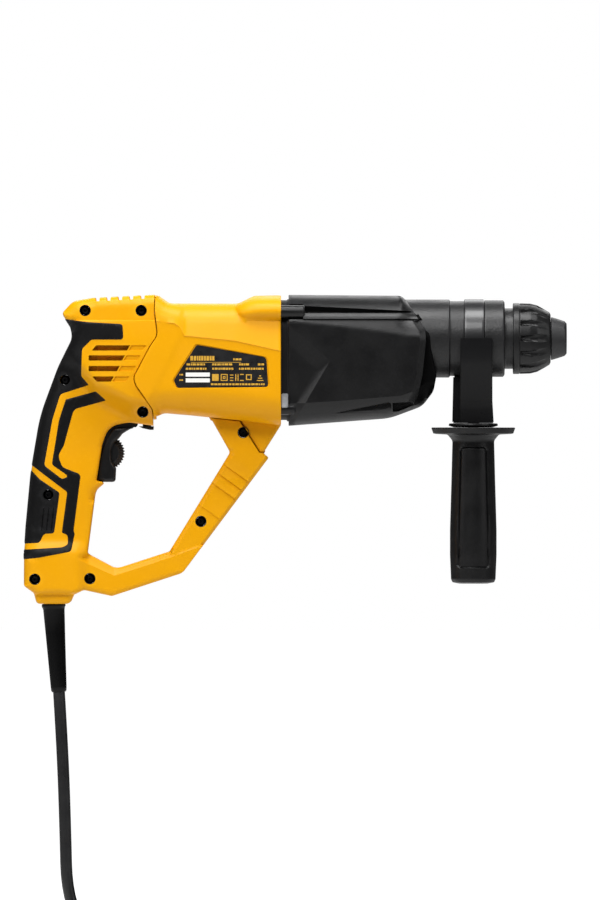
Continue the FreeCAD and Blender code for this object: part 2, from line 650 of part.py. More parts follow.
# ---------------------------------------------------------------- countershaft and hammer drive
def countershaft():
    low = "countershaft_z"
    axis = (0, 0, low)
    shaft = cylinder("counter_pin", 4.0, 79.5, (158.2, 0, low))
    # half a tooth of turn puts both meshes tooth to gap at rest
    pinion = gear_wheel("counter_pinion", "output_pinion_teeth", 0, 211.6, 221.5, size(low))
    subpart(fuse("intermediate_shaft_solid", [shaft, pinion]), "intermediate_shaft")
    teeth = size("countershaft_teeth")
    gear = gear_wheel("intermediate_gear_wheel", "countershaft_teeth", 4.0, 165.0, 174.0,
                      size(low), phase=math.pi / teeth)
    subpart(gear, "intermediate_gear")
    ball = fresh("Part::Sphere", "wobble_ball")
    set_size(ball, "Radius", "wobble_sphere_radius")
    middle = size("wobble_x")
    ball.Placement = Placement(Vector(middle, 0, size(low)), Rotation())
    reach = 7.5
    slice_box = box("wobble_slice", (middle - reach, -20, 20), (middle + reach, 20, 70))
    trimmed = common("wobble_trimmed", [ball, slice_box])
    subpart(cut("wobble_hub_done", trimmed, cylinder("wobble_bore", 4.0, 40, (165, 0, low))),
            "wobble_hub")
    subpart(tube("intermediate_rear_bearing", 4.0, 8.0, 158.2, 163.0, axis),
            "intermediate_rear_bearing")
    subpart(tube("intermediate_front_bearing", 4.0, 6.0, 229.2, 238.0, axis),
            "intermediate_front_bearing")
    subpart(lathe("shift_sleeve", [
        (198.0, 4.05), (208.0, 4.05), (208.0, 9.0), (204.8, 9.0), (204.8, 7.0), (199.2, 7.0),
        (199.2, 9.0), (198.0, 9.0),
    ], axis), "shift_sleeve")


def wobble_and_piston():
    middle = size("wobble_x")
    ring = tube("wobble_race", "wobble_sphere_radius + 0.3", 15.5, middle - 4.0, middle + 4.0,
                (0, 0, "countershaft_z"))
    finger = cylinder("wobble_finger", 2.0, 22.0, (middle, 0, size("countershaft_z") + 15.0), "z")
    foot = cylinder("wobble_finger_foot", 3.0, 4.0, (middle, 0, size("countershaft_z") + 14.0), "z")
    subpart(fuse("wobble_ring_solid", [ring, foot, finger]), "wobble_ring")

    tall = size("spindle_z")
    cup = lathe("piston_cup", [
        (195.0, 0.0), (195.0, "piston_radius"), (240.0, "piston_radius"), (240.0, "piston_bore"),
        (200.0, "piston_bore"), (200.0, 0.0),
    ], (0, 0, "spindle_z"))
    ears = []
    for name, low_y in (("right", -9.0), ("left", 6.0)):
        eye = cylinder("piston_eye_" + name, 7.5, 3.0, (middle, low_y, tall), "y")
        arm = box("piston_arm_" + name, (middle, low_y, tall - 6), (196, low_y + 3, tall + 6))
        ears += [eye, arm]
    cross = cylinder("piston_cross_pin", 5.0, 18.0, (middle, -9.0, tall), "y")
    window = box("piston_pin_window", (middle - 3.2, -2.4, tall - 8), (middle + 3.2, 2.4, tall + 8))
    solid = fuse("piston_solid", [cup, cross] + ears)
    subpart(cut("piston_done", solid, window), "piston")

    subpart(lathe("striker", [
        (209.0, 0.0), (209.0, 7.6), (210.4, "striker_radius"), (229.6, "striker_radius"),
        (231.0, 7.6), (231.0, 0.0),
    ], (0, 0, "spindle_z")), "striker")
    subpart(lathe("impact_bolt", [
        (243.0, 0.0), (243.0, 6.0), (254.0, 6.0), (254.0, 10.4), (262.0, 10.4), (263.6, 5.95),
        (283.5, 5.95), (283.5, 0.0),
    ], (0, 0, "spindle_z")), "impact_bolt")


# ---------------------------------------------------------------- spindle and chuck
def spindle_and_chuck():
    axis = (0, 0, "spindle_z")
    nose = "spindle_nose_radius"
    turned = lathe("spindle_turned", [
        (198.0, "spindle_chamber + 0.05"), (250.0, "spindle_chamber + 0.05"), (251.0, 10.6),
        (268.0, 10.6), (270.0, 6.0), (289.0, 6.0), (290.0, "tool_bore_radius"),
        (345.0, "tool_bore_radius"), (345.0, nose), (299.6, nose), (299.6, 15.0), (297.8, 15.0),
        (297.8, nose), (291.0, nose), (290.0, 11.0), (274.2, 11.0), (274.2, 13.0), (262.0, 13.0),
        (262.0, 16.0), (258.0, 16.0), (257.0, 14.5), (212.6, 14.5), (212.6, 19.0), (209.0, 19.0),
        (209.0, 14.5), (198.0, 14.5),
    ], axis)
    ball_x = size("ball_x")
    windows = cylinder("ball_windows", "ball_radius + 0.1", 40,
                       (ball_x, 0, size("spindle_z") - 20), "z")
    subpart(cut("spindle_done", turned, windows), "spindle")
    # a gap of this wheel faces the tooth of the output pinion below it
    gear = gear_wheel("spindle_gear_wheel", "spindle_teeth", 14.5, 212.8, 220.4,
                      size("spindle_z"), phase=math.pi / size("spindle_teeth") + math.pi)
    subpart(gear, "spindle_gear")
    subpart(tube("spindle_bush", 14.55, 20.0, 226.0, 239.8, axis), "spindle_bush")
    subpart(tube("spindle_front_bearing", 13.0, 18.0, 262.1, 274.0, axis), "spindle_front_bearing")
    subpart(lathe("spindle_seal", [
        (291.2, 9.66), (292.4, 9.66), (293.0, 15.6), (296.6, 15.6), (296.6, 17.6), (291.2, 17.6),
    ], axis), "spindle_seal")
    subpart(lathe("lock_ring", [
        (315.0, 12.6), (324.0, 12.6), (329.2, 14.2), (333.0, 14.2), (333.0, 17.2), (315.0, 17.2),
    ], axis), "lock_ring")
    subpart(lathe("locking_sleeve", [
        (312.2, 21.6), (317.5, 21.6), (317.5, 17.3), (333.6, 17.3), (335.0, 12.0), (338.5, 12.0),
        (338.5, 16.0), (337.4, 18.2), (333.2, 20.7), (329.0, 23.0), (324.1, 24.2), (312.2, 24.3),
    ], axis), "locking_sleeve")
    subpart(lathe("dust_cap", [
        (338.8, 9.65), (345.1, 9.65), (345.1, 5.9), (349.7, 5.9), (349.7, 9.5), (347.9, 12.4),
        (343.0, 13.8), (338.8, 14.5),
    ], axis), "dust_cap")
    for name, side in (("upper", 1), ("lower", -1)):
        ball = fresh("Part::Sphere", "ball_" + name)
        set_size(ball, "Radius", "ball_radius")
        height = size("spindle_z") + side * size("ball_centre_radius")
        ball.Placement = Placement(Vector(ball_x, 0, height), Rotation())
        subpart(ball, "locking_ball_" + name)
    # the chuck spring: three open rings joined by a strip stand for its turns
    turns = [tube("spring_turn_%d" % i, 12.4, 14.4, 299.8 + 4.4 * i, 301.6 + 4.4 * i, axis)
             for i in range(4)]
    link = box("spring_link", (299.8, -1.2, size("spindle_z") + 12.6),
               (315.0, 1.2, size("spindle_z") + 14.2))
    subpart(fuse("lock_spring_solid", turns + [link]), "lock_spring")


# ---------------------------------------------------------------- side handle
def side_handle():
    x = size("side_handle_x")
    axis = (0, 0, "spindle_z")
    subpart(tube("clamp_band", "band_bore", "band_radius", 278.1, 291.7, axis), "clamp_band")
    saddle = tube("yoke_saddle", "band_radius + 0.15", 31.5, 275.1, 297.1, axis)
    lower = box("yoke_lower_half", (270, -40, 20), (300, 40, "spindle_z"))
    neck = fresh("Part::Loft", "yoke_neck")
    sections = []
    for i, (z, half_y) in enumerate(((20.9, 13.5), (34.0, 13.5), (58.0, 27.0))):
        loop = outline("yoke_section_%d" % i, [
            (275.1, -half_y, 3), (297.1, -half_y, 3), (297.1, half_y, 3), (275.1, half_y, 3)], "XY")
        loop.Placement = Placement(Vector(0, 0, z), Rotation())
        sections.append(loop)
    neck.Sections = sections
    neck.Solid = True
    neck.Ruled = True
    guide = box("depth_rod_guide", (271.2, -5.5, 20.9), (276.0, 5.5, 53.8))
    solid = fuse("yoke_solid", [common("yoke_saddle_half", [saddle, lower]), neck, guide])
    holes = fuse("yoke_holes", [
        cylinder("yoke_band_room", "band_radius + 0.15", 60, (250, 0, "spindle_z")),
        cylinder("yoke_bolt_hole", "side_bolt_radius + 0.05", 60, (x, 0, 0), "z"),
    ])
    subpart(cut("yoke_done", solid, holes), "side_handle_yoke")
    base = (x, 0, 0)
    subpart(lathe("side_handle_disc", [
        (17.6, "side_bolt_radius + 0.05"), (20.8, "side_bolt_radius + 0.05"), (20.8, 13.0),
        (20.5, 17.0), (19.0, 17.3), (17.6, 14.0),
    ], base, "z"), "side_handle_disc")
    subpart(lathe("side_handle_grip", [
        (17.3, "side_bolt_radius"), (17.3, 28.0), (16.4, "side_flange_radius"), (13.8, 28.4),
        (13.4, 27.0), (12.4, 19.0), (8.0, 14.6), (5.5, 14.2), (-19.0, 15.0), (-54.0, 15.9),
        (-71.5, 15.8), (-87.6, 15.0), (-90.6, 13.0), (-91.5, 10.5), (-91.5, 0.0), (-62.0, 0.0),
        (-62.0, "side_bolt_radius"),
    ], base, "z"), "side_handle_grip")
    subpart(cylinder("side_bolt", "side_bolt_radius", 112.0, (x, 0, -61.9), "z"), "side_handle_bolt")


# ---------------------------------------------------------------- controls
WHEEL_X = 28.2
WHEEL_Z = 1.0


def controls():
    blade = slab("trigger_slab", outline("trigger_loop", TRIGGER), 9.2)
    pivot_x = 41.5
    pivot_z = 15.5
    hub = cylinder("trigger_hub", 2.4, 18.4, (pivot_x, -9.2, pivot_z), "y")
    body = fuse("trigger_solid", [blade, hub])
    room = fuse("trigger_rooms", [
        cylinder("wheel_room", 12.5, 8.0, (WHEEL_X, -4.0, WHEEL_Z), "y"),
        cylinder("wheel_axle_hole", 1.55, 20.0, (WHEEL_X, -10.0, WHEEL_Z), "y"),
        cylinder("trigger_pin_hole", 1.2, 20.0, (pivot_x, -10.0, pivot_z), "y"),
        box("trigger_lightening", (10, -4.0, -8.0), (WHEEL_X, 4.0, 12.0)),
    ])
    subpart(cut("trigger_done", body, room), "trigger")
    rim = cylinder("wheel_rim", 12.0, 7.0, (WHEEL_X, -3.5, WHEEL_Z), "y")
    axle = cylinder("wheel_axle", 1.5, 13.0, (WHEEL_X, -6.5, WHEEL_Z), "y")
    subpart(fuse("speed_dial_solid", [rim, axle]), "speed_dial")
    plate = slab("lever_plate", outline("lever_loop", LEVER), 5.0)
    stem = cylinder("lever_stem", 3.0, 6.5, (56, 0, 17.5), "z")
    subpart(fuse("lever_solid", [plate, stem]), "reversing_lever")
    subpart(box("switch_block", (-12, -10.5, -22.5), (9.5, 10.5, 18)), "switch_body")

    # mode knob on the left side, with an eccentric pin in the groove of the shift sleeve
    face = size("gear_cover_half_width")
    knob_z = size("countershaft_z") + 3.3
    knob = lathe("knob_turned", [
        (face + 0.4, 3.6), (face + 8.0, 3.6), (face + 8.0, 14.5), (face + 6.5, 16.0),
        (face + 0.4, 17.0),
    ], (202, 0, knob_z), "y")
    # a bored stem carries the pin inwards
    stem_tube = cylinder("knob_stem", 8.0, 6.0, (202, face - 5.4, knob_z), "y")
    pin = cylinder("knob_pin", 1.8, face - 8.0 - 4.0, (202, 8.0, size("countershaft_z")), "y")
    floor_disc = cylinder("knob_floor", 9.0, 1.6, (202, face + 0.4, knob_z), "y")
    subpart(fuse("mode_knob_solid", [knob, stem_tube, pin, floor_disc]), "mode_knob")
    subpart(cylinder("button_pin", 3.5, 5.6, (202, face + 4.4, knob_z), "y"), "mode_button")


# ---------------------------------------------------------------- mains lead
def tangent_path(points, label):
    """Straight runs joined by tangent arcs, each arc as large as its two runs allow."""
    corners = [Vector(*p) for p in points]
    edges = []
    here = corners[0]
    radii = []
    for i in range(1, len(corners) - 1):
        into = corners[i] - corners[i - 1]
        out = corners[i + 1] - corners[i]
        turn = into.getAngle(out)
        reach = 0.45 * min(into.Length, out.Length)
        radii.append(reach / math.tan(turn / 2))
        start = corners[i] - into.normalize() * reach
        end = corners[i] + out.normalize() * reach
        inward = (out - into).normalize()
        centre_way = reach * math.tan(turn / 2)
        sagitta = radii[-1] / math.cos(turn / 2) - radii[-1]
        middle = corners[i] + inward * sagitta
        edges.append(Part.LineSegment(here, start).toShape())
        edges.append(Part.Arc(start, middle, end).toShape())
        here = end
    edges.append(Part.LineSegment(here, corners[-1]).toShape())
    print(label, "bend radii:", [round(r) for r in radii])
    return Part.Wire(edges)


RELIEF_TOP = Vector(-9.4, 0, -105.7)
RELIEF_END = Vector(-5.6, 0, -167.4)
CORD_ROUTE = [
    (-5.6, 0, -167.4), (-3.0, 0, -209.6), (-1.2, 0.3, -262.0), (0.0, 0, -313.0),
    (17.5, 0, -343.3), (47.8, 0, -360.75), (82.4, 0.6, -360.75),
]


def mains_lead():
    way = RELIEF_END - RELIEF_TOP
    cone = fresh("Part::Cone", "relief_cone")
    cone.Radius1 = 7.5
    cone.Radius2 = 5.4
    cone.Height = way.Length
    cone.Placement = Placement(RELIEF_TOP, Rotation(Vector(0, 0, 1), way))
    neck = cylinder("relief_neck", 6.0, 10.0, (RELIEF_TOP.x, 0, RELIEF_TOP.z), "z")
    subpart(fuse("strain_relief_solid", [cone, neck]), "strain_relief")

    radius = size("cord_radius")
    path = tangent_path(CORD_ROUTE, "power_cord")
    first = Vector(*CORD_ROUTE[1]) - Vector(*CORD_ROUTE[0])
    ring = Part.Wire(Part.makeCircle(radius, Vector(*CORD_ROUTE[0]), first))
    lead = path.makePipeShell([ring], True, False)
    ideal = math.pi * radius ** 2 * path.Length
    print("power_cord length %.1f, volume ratio %.4f" % (path.Length, lead.Volume / ideal))

    # the put-away length: a flat coil of turns side by side in two layers
    columns = size("coil_columns")
    outer = size("coil_outer_turn") + radius
    inner = outer - 2 * radius * columns
    centre = ("coil_centre_x", "coil_centre_y", "floor_z")
    coil = cut("coil_ring",
               cylinder("coil_outside", outer, "coil_layers * 2 * cord_radius", centre, "z"),
               cylinder("coil_inside", inner, "coil_layers * 2 * cord_radius", centre, "z"))
    subpart(coil, "cord_coil")

    # the last stretch leaves the top layer for the plug
    axis_z = size("floor_z") + 3 * radius
    leave_x = 127.5
    sleeve_x = 140.0
    tail = Part.makeCylinder(radius, sleeve_x - leave_x, Vector(leave_x, 0, axis_z), Vector(1, 0, 0))
    cord = fresh("Part::Feature", "lead_and_tail")
    cord.Shape = Part.makeCompound([lead, tail])
    subpart(cord, "power_cord")

    sleeve = lathe("plug_sleeve", [(140.0, 0.0), (140.0, 5.2), (168.0, 7.6), (168.0, 0.0)],
                   (0, 0, axis_z))
    face_x = 200.0
    loop = [(-17.5, -10.0, 8), (-17.5, 10.0, 8), (0, 12.7, 30), (17.5, 10.0, 8),
            (17.5, -10.0, 8), (0, -12.7, 30)]
    block = fresh("Part::Extrusion", "plug_block")
    block.Base = outline("plug_section", loop, "YZ")
    block.DirMode = "Custom"
    block.Dir = Vector(1, 0, 0)
    block.Solid = True
    block.LengthFwd = face_x - 166.0
    block.Placement = Placement(Vector(166.0, 0, axis_z), Rotation())
    subpart(fuse("plug_solid", [sleeve, block]), "plug_body")
    pins = [cylinder("plug_pin_%d" % i, "plug_pin_radius", 19.0, (face_x, y, axis_z))
            for i, y in enumerate((-size("plug_pin_spacing") / 2, size("plug_pin_spacing") / 2))]
    subpart(group("plug_pin_set", pins), "plug_pins")


handle_parts()
handle_screws()
motor_housing()
flange_and_cover()
front_barrel()
motor()
countershaft()
wobble_and_piston()
spindle_and_chuck()
side_handle()
controls()
mains_lead()
doc.recompute()

# ---------------------------------------------------------------- checks and export
failed = [obj.Name for obj in doc.Objects if "Invalid" in obj.State or "Error" in obj.State]
if failed:
    raise RuntimeError("objects failed to build: %s" % failed)
if len(SUBPARTS) > 60:
    raise RuntimeError("too many sub-parts: %d" % len(SUBPARTS))
for obj in SUBPARTS:
    if obj.Shape.isNull() or not obj.Shape.isValid() or obj.Shape.Volume <= 0:
        raise RuntimeError("bad shape: " + obj.Label)
for obj in SUBPARTS:
    obj.Shape.exportStep("parts/%s.step" % obj.Label)
print("wrote", len(SUBPARTS), "sub-parts")
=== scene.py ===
import json
import math
import random

import bmesh
import bpy
import numpy as np
from mathutils import Matrix, Vector, geometry


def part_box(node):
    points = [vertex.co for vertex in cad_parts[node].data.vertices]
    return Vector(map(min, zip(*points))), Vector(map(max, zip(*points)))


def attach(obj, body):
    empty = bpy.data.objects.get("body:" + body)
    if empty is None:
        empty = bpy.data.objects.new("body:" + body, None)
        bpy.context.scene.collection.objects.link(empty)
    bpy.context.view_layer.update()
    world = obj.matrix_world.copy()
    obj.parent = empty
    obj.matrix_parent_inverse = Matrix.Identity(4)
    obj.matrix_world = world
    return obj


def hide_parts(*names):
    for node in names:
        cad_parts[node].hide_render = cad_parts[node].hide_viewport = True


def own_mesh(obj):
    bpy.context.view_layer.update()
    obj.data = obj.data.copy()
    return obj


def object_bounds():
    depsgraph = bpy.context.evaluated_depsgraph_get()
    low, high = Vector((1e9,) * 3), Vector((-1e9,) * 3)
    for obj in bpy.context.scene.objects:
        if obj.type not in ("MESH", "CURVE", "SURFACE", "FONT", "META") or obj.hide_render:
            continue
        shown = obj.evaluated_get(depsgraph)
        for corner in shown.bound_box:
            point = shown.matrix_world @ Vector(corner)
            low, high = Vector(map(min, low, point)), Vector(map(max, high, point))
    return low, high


# Corded rotary hammer. Lengths in the outlines are millimetres in the frame's own axes:
# +X towards the tool, +Z up, and the right side is -Y.

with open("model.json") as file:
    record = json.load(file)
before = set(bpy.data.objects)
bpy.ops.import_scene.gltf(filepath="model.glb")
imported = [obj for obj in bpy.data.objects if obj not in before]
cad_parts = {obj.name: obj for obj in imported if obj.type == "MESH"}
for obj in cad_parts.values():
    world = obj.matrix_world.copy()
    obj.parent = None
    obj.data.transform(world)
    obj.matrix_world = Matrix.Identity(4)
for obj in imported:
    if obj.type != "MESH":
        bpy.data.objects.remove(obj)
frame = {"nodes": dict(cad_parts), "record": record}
cad_low, cad_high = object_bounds()
random.seed(7)
MM = 0.001
SPINDLE_Z = frame["record"]["mounts"][1]["pos_m"][2] / MM
FLOOR_Z = cad_low[2] / MM
CORD_R = 4.25


# ------------------------------------------------------------------ camera, floor and light
def make_camera():
    """A long lens level with the middle of the picture, so that lines stay nearly parallel."""
    data = bpy.data.cameras.new("camera")
    data.lens = 600.0
    data.sensor_width = 36.0
    data.clip_end = 60.0
    cam = bpy.data.objects.new("camera", data)
    picture_height = 0.630
    distance = picture_height * data.lens / data.sensor_width
    cam.location = (0.1631, -distance, 0.0020)
    cam.rotation_euler = (math.radians(90), 0, 0)
    bpy.context.collection.objects.link(cam)
    bpy.context.scene.camera = cam
    bpy.context.scene.view_settings.view_transform = "Standard"


def make_light(name, place, aim, size, power, colour=(1, 1, 1)):
    data = bpy.data.lights.new(name, "AREA")
    data.shape = "RECTANGLE"
    data.size, data.size_y = size
    data.energy = power
    data.color = colour
    lamp = bpy.data.objects.new(name, data)
    lamp.location = place
    lamp.visible_camera = False
    way = Vector(aim) - Vector(place)
    lamp.rotation_euler = way.to_track_quat("-Z", "Y").to_euler()
    bpy.context.collection.objects.link(lamp)


def map_range(tree, value, low, high, from_low=0.0, from_high=1.0):
    """Carry a value from one range to another."""
    node = tree.nodes.new("ShaderNodeMapRange")
    node.inputs["From Min"].default_value = from_low
    node.inputs["From Max"].default_value = from_high
    node.inputs["To Min"].default_value = low
    node.inputs["To Max"].default_value = high
    tree.links.new(value, node.inputs["Value"])
    return node.outputs["Result"]


def seen_and_lit(tree, seen, lit):
    """A strength that is one value where the eye looks straight at it and another as a light."""
    path = tree.nodes.new("ShaderNodeLightPath")
    return map_range(tree, path.outputs["Is Camera Ray"], lit, seen)


def make_studio():
    world = bpy.data.worlds.new("studio")
    bpy.context.scene.world = world
    world.use_nodes = True
    background = world.node_tree.nodes["Background"]
    background.inputs["Color"].default_value = (1, 1, 1, 1)
    glow = seen_and_lit(world.node_tree, 1.0, 0.08)
    world.node_tree.links.new(glow, background.inputs["Strength"])
    aim = (0.16, 0, 0.03)
    make_light("key", (-0.3, -1.5, 1.4), aim, (1.4, 0.7), 32.0)
    make_light("fill", (1.9, -1.0, 0.9), aim, (0.8, 1.4), 10.0)
    make_light("side", (-1.8, -0.9, 0.9), aim, (0.8, 1.2), 10.0)
    make_light("top", (0.2, -0.4, 1.7), aim, (1.6, 0.7), 38.0)
    make_light("back", (0.3, 1.6, 1.1), aim, (1.6, 0.9), 12.0)

    reach = 20.0
    mesh = bpy.data.meshes.new("floor")
    level = FLOOR_Z * MM
    corners = ((-reach, -reach), (reach, -reach), (reach, reach), (-reach, reach))
    mesh.from_pydata([(x, y, level) for x, y in corners], [], [(0, 1, 2, 3)])
    floor = bpy.data.objects.new("floor", mesh)
    bpy.context.collection.objects.link(floor)
    paper = bpy.data.materials.new("paper")
    paper.use_nodes = True
    tree = paper.node_tree
    shader = tree.nodes["Principled BSDF"]
    shader.inputs["Base Color"].default_value = (0.5, 0.5, 0.5, 1)
    shader.inputs["Roughness"].default_value = 0.9
    shader.inputs["Specular IOR Level"].default_value = 0.0
    shader.inputs["Emission Color"].default_value = (1, 1, 1, 1)
    glow = seen_and_lit(tree, 1.0, 0.0)
    tree.links.new(glow, shader.inputs["Emission Strength"])
    near = tree.nodes.new("ShaderNodeVectorMath")
    near.operation = "LENGTH"
    place = tree.nodes.new("ShaderNodeTexCoord")
    tree.links.new(place.outputs["Object"], near.inputs[0])
    # from the object outwards: the light the floor gives off, then the brightness it shows
    for start, end, inner, outer, socket in ((0.47, 1.07, 0.5, 0.0, "To Min"),
                                             (0.9, 1.6, 0.6, 1.0, "To Max")):
        pool = map_range(tree, near.outputs["Value"], inner, outer, start, end)
        tree.links.new(pool, glow.node.inputs[socket])
    mesh.materials.append(paper)


make_camera()
make_studio()


# ------------------------------------------------------------------ materials
class Material:
    """A node material under construction: a Principled shader with helpers for its inputs."""

    def __init__(self, name, roughness=0.5, metallic=0.0, specular=0.5, coat=0.0, sheen=0.0):
        self.data = bpy.data.materials.new(name)
        self.data.use_nodes = True
        self.tree = self.data.node_tree
        self.shader = self.tree.nodes["Principled BSDF"]
        for socket, value in (("Roughness", roughness), ("Metallic", metallic), ("Coat Weight", coat),
                              ("Specular IOR Level", specular), ("Sheen Weight", sheen)):
            self.shader.inputs[socket].default_value = value
        self.place = self.tree.nodes.new("ShaderNodeTexCoord").outputs["Object"]

    def node(self, kind, **settings):
        node = self.tree.nodes.new(kind)
        for key, value in settings.items():
            setattr(node, key, value)
        return node

    def link(self, source, target):
        self.tree.links.new(source, target)

    def noise(self, scale, detail=3.0, roughness=0.55):
        node = self.node("ShaderNodeTexNoise")
        node.inputs["Scale"].default_value = scale
        node.inputs["Detail"].default_value = detail
        node.inputs["Roughness"].default_value = roughness
        self.link(self.place, node.inputs["Vector"])
        return node.outputs["Fac"]

    def remap(self, source, low, high, from_low=0.3, from_high=0.7):
        return map_range(self.tree, source, low, high, from_low, from_high)

    def mix(self, factor, first, second):
        node = self.node("ShaderNodeMix", data_type="RGBA")
        self.link(factor, node.inputs[0])
        for value, socket in ((first, node.inputs[6]), (second, node.inputs[7])):
            if isinstance(value, tuple):
                socket.default_value = (*value, 1)
            else:
                self.link(value, socket)
        return node.outputs[2]

    def edges(self, low=0.52, high=0.62):
        """1 along worn convex edges, from the mesh's own curvature."""
        point = self.node("ShaderNodeNewGeometry").outputs["Pointiness"]
        return self.remap(point, 0.0, 1.0, low, high)

    def colour(self, source):
        self.link(source, self.shader.inputs["Base Color"])

    def rough(self, source):
        self.link(source, self.shader.inputs["Roughness"])

    def bump(self, layers):
        """Stack bump layers given as (height, strength, distance in metres)."""
        normal = None
        for height, strength, distance in layers:
            node = self.node("ShaderNodeBump")
            node.inputs["Strength"].default_value = strength
            node.inputs["Distance"].default_value = distance
            self.link(height, node.inputs["Height"])
            if normal is not None:
                self.link(normal, node.inputs["Normal"])
            normal = node.outputs["Normal"]
        self.link(normal, self.shader.inputs["Normal"])


def moulded_plastic(name, base, worn, dark, roughness, grain_scale=1500.0, grain=0.25,
                    specular=0.5, coat=0.0, sheen=0.0, deep=0.00006, wave=0.06, mottle=0.065):
    """Injection-moulded plastic or rubber: spark-eroded grain, faint flow marks, rubbed edges."""
    m = Material(name, roughness, 0.0, specular, coat, sheen)
    cloud = m.remap(m.noise(16.0, 4.0), 0.0, 1.0)
    tone = m.mix(cloud, base, dark)
    speck = m.remap(m.noise(420.0, 2.0), 0.0, 0.25, 0.55, 0.75)
    tone = m.mix(speck, tone, worn)
    m.colour(m.mix(m.edges(), tone, worn))
    m.rough(m.remap(m.noise(60.0, 5.0), roughness - mottle, roughness + mottle))
    m.bump([(m.noise(grain_scale, 2.0), grain, deep), (m.noise(90.0, 3.0), wave, 0.0003)])
    return m.data


def brushed_metal(name, base, dark, roughness, across=(1.0, 60.0, 60.0)):
    m = Material(name, roughness, 1.0)
    stretch = m.node("ShaderNodeMapping")
    stretch.inputs["Scale"].default_value = across
    m.link(m.place, stretch.inputs["Vector"])
    lines = m.node("ShaderNodeTexNoise")
    lines.inputs["Scale"].default_value = 60.0
    lines.inputs["Detail"].default_value = 4.0
    m.link(stretch.outputs["Vector"], lines.inputs["Vector"])
    streak = lines.outputs["Fac"]
    m.colour(m.mix(m.remap(streak, 0.0, 1.0), base, dark))
    m.rough(m.remap(m.noise(80.0, 4.0), roughness - 0.08, roughness + 0.12))
    m.bump([(streak, 0.18, 0.00005)])
    return m.data


def printed_film(name):
    m = Material(name, 0.32, 0.0, 0.5, 0.15)
    cloud = m.remap(m.noise(30.0, 4.0), 0.0, 1.0)
    m.colour(m.mix(cloud, (0.004, 0.004, 0.0045), (0.008, 0.008, 0.009)))
    m.rough(m.remap(m.noise(200.0, 3.0), 0.26, 0.42))
    m.bump([(m.noise(700.0, 2.0), 0.05, 0.00005)])
    return m.data


def ink(name, base, dark):
    m = Material(name, 0.45)
    m.colour(m.mix(m.remap(m.noise(900.0, 2.0), 0.0, 1.0), base, dark))
    m.rough(m.remap(m.noise(300.0, 2.0), 0.4, 0.55))
    return m.data


# The rows down to carbon are material slots. The others dress single pieces of a slot.
PLASTICS = (
    # name, base colour, worn edges, dark patches, roughness and what differs from the defaults
    ("yellow_plastic", (0.72, 0.325, 0.0), (0.76, 0.37, 0.005), (0.69, 0.305, 0.0), 0.40,
     dict(grain_scale=1300.0, grain=0.22, specular=0.16)),
    ("black_plastic", (0.0038, 0.0038, 0.0041), (0.012, 0.012, 0.013), (0.0028, 0.0028, 0.003), 0.38,
     dict(grain_scale=1000.0, grain=0.5, specular=0.30, deep=0.00014)),
    ("grip_plastic", (0.0036, 0.0036, 0.0039), (0.012, 0.012, 0.013), (0.0026, 0.0026, 0.0029), 0.38,
     dict(grain=0.35, specular=0.30)),
    ("soft_rubber", (0.0024, 0.0024, 0.0027), (0.013, 0.013, 0.014), (0.0018, 0.0018, 0.002), 0.50,
     dict(grain_scale=1900.0, grain=0.4, specular=0.14, sheen=0.015)),
    ("seal_rubber", (0.011, 0.011, 0.012), (0.03, 0.03, 0.03), (0.008, 0.008, 0.009), 0.5,
     dict(grain_scale=1700.0, grain=0.4)),
    ("cord_rubber", (0.004, 0.004, 0.0045), (0.014, 0.014, 0.015), (0.003, 0.003, 0.0035), 0.32,
     dict(grain=0.2, specular=0.42)),
    ("dark_plastic", (0.003, 0.003, 0.0033), (0.010, 0.010, 0.011), (0.002, 0.002, 0.0023), 0.5,
     dict(specular=0.2)),
    ("gloss_black", (0.008, 0.008, 0.009), (0.03, 0.03, 0.032), (0.006, 0.006, 0.007), 0.34,
     dict(grain_scale=900.0, grain=0.04, specular=0.6, coat=0.1, deep=0.00003, wave=0.002, mottle=0.01)),
    ("carbon", (0.02, 0.02, 0.022), (0.06, 0.06, 0.06), (0.015, 0.015, 0.016), 0.6, dict()),
    ("relief_rubber", (0.001, 0.001, 0.0011), (0.004, 0.004, 0.0045), (0.0008, 0.0008, 0.0009), 0.22,
     dict(grain=0.1, specular=0.16, deep=0.00003, wave=0.01, mottle=0.03)),
    # a darker copy of grip_plastic for the saddle and its rod guide: painted shade
    ("grip_plastic_painted_shade", (0.0013, 0.0013, 0.0014), (0.006, 0.006, 0.0065), (0.0009, 0.0009, 0.001), 0.3,
     dict(grain_scale=1100.0, specular=0.16, wave=0.03, mottle=0.04)),
    # a darker copy of black_plastic for the wall beyond the gear cover's front edge: painted shade
    ("painted_shade_plastic", (0.0009, 0.0009, 0.001), (0.003, 0.003, 0.0033), (0.0006, 0.0006, 0.0007), 0.5,
     dict(grain_scale=1100.0, grain=0.3, specular=0.05, wave=0.03, mottle=0.04)),
    ("painted_casting", (0.012, 0.012, 0.0125), (0.024, 0.024, 0.025), (0.009, 0.009, 0.0095), 0.40,
     dict(grain_scale=650.0, grain=0.75, specular=0.34, deep=0.0002, wave=0.03, mottle=0.05)),
)
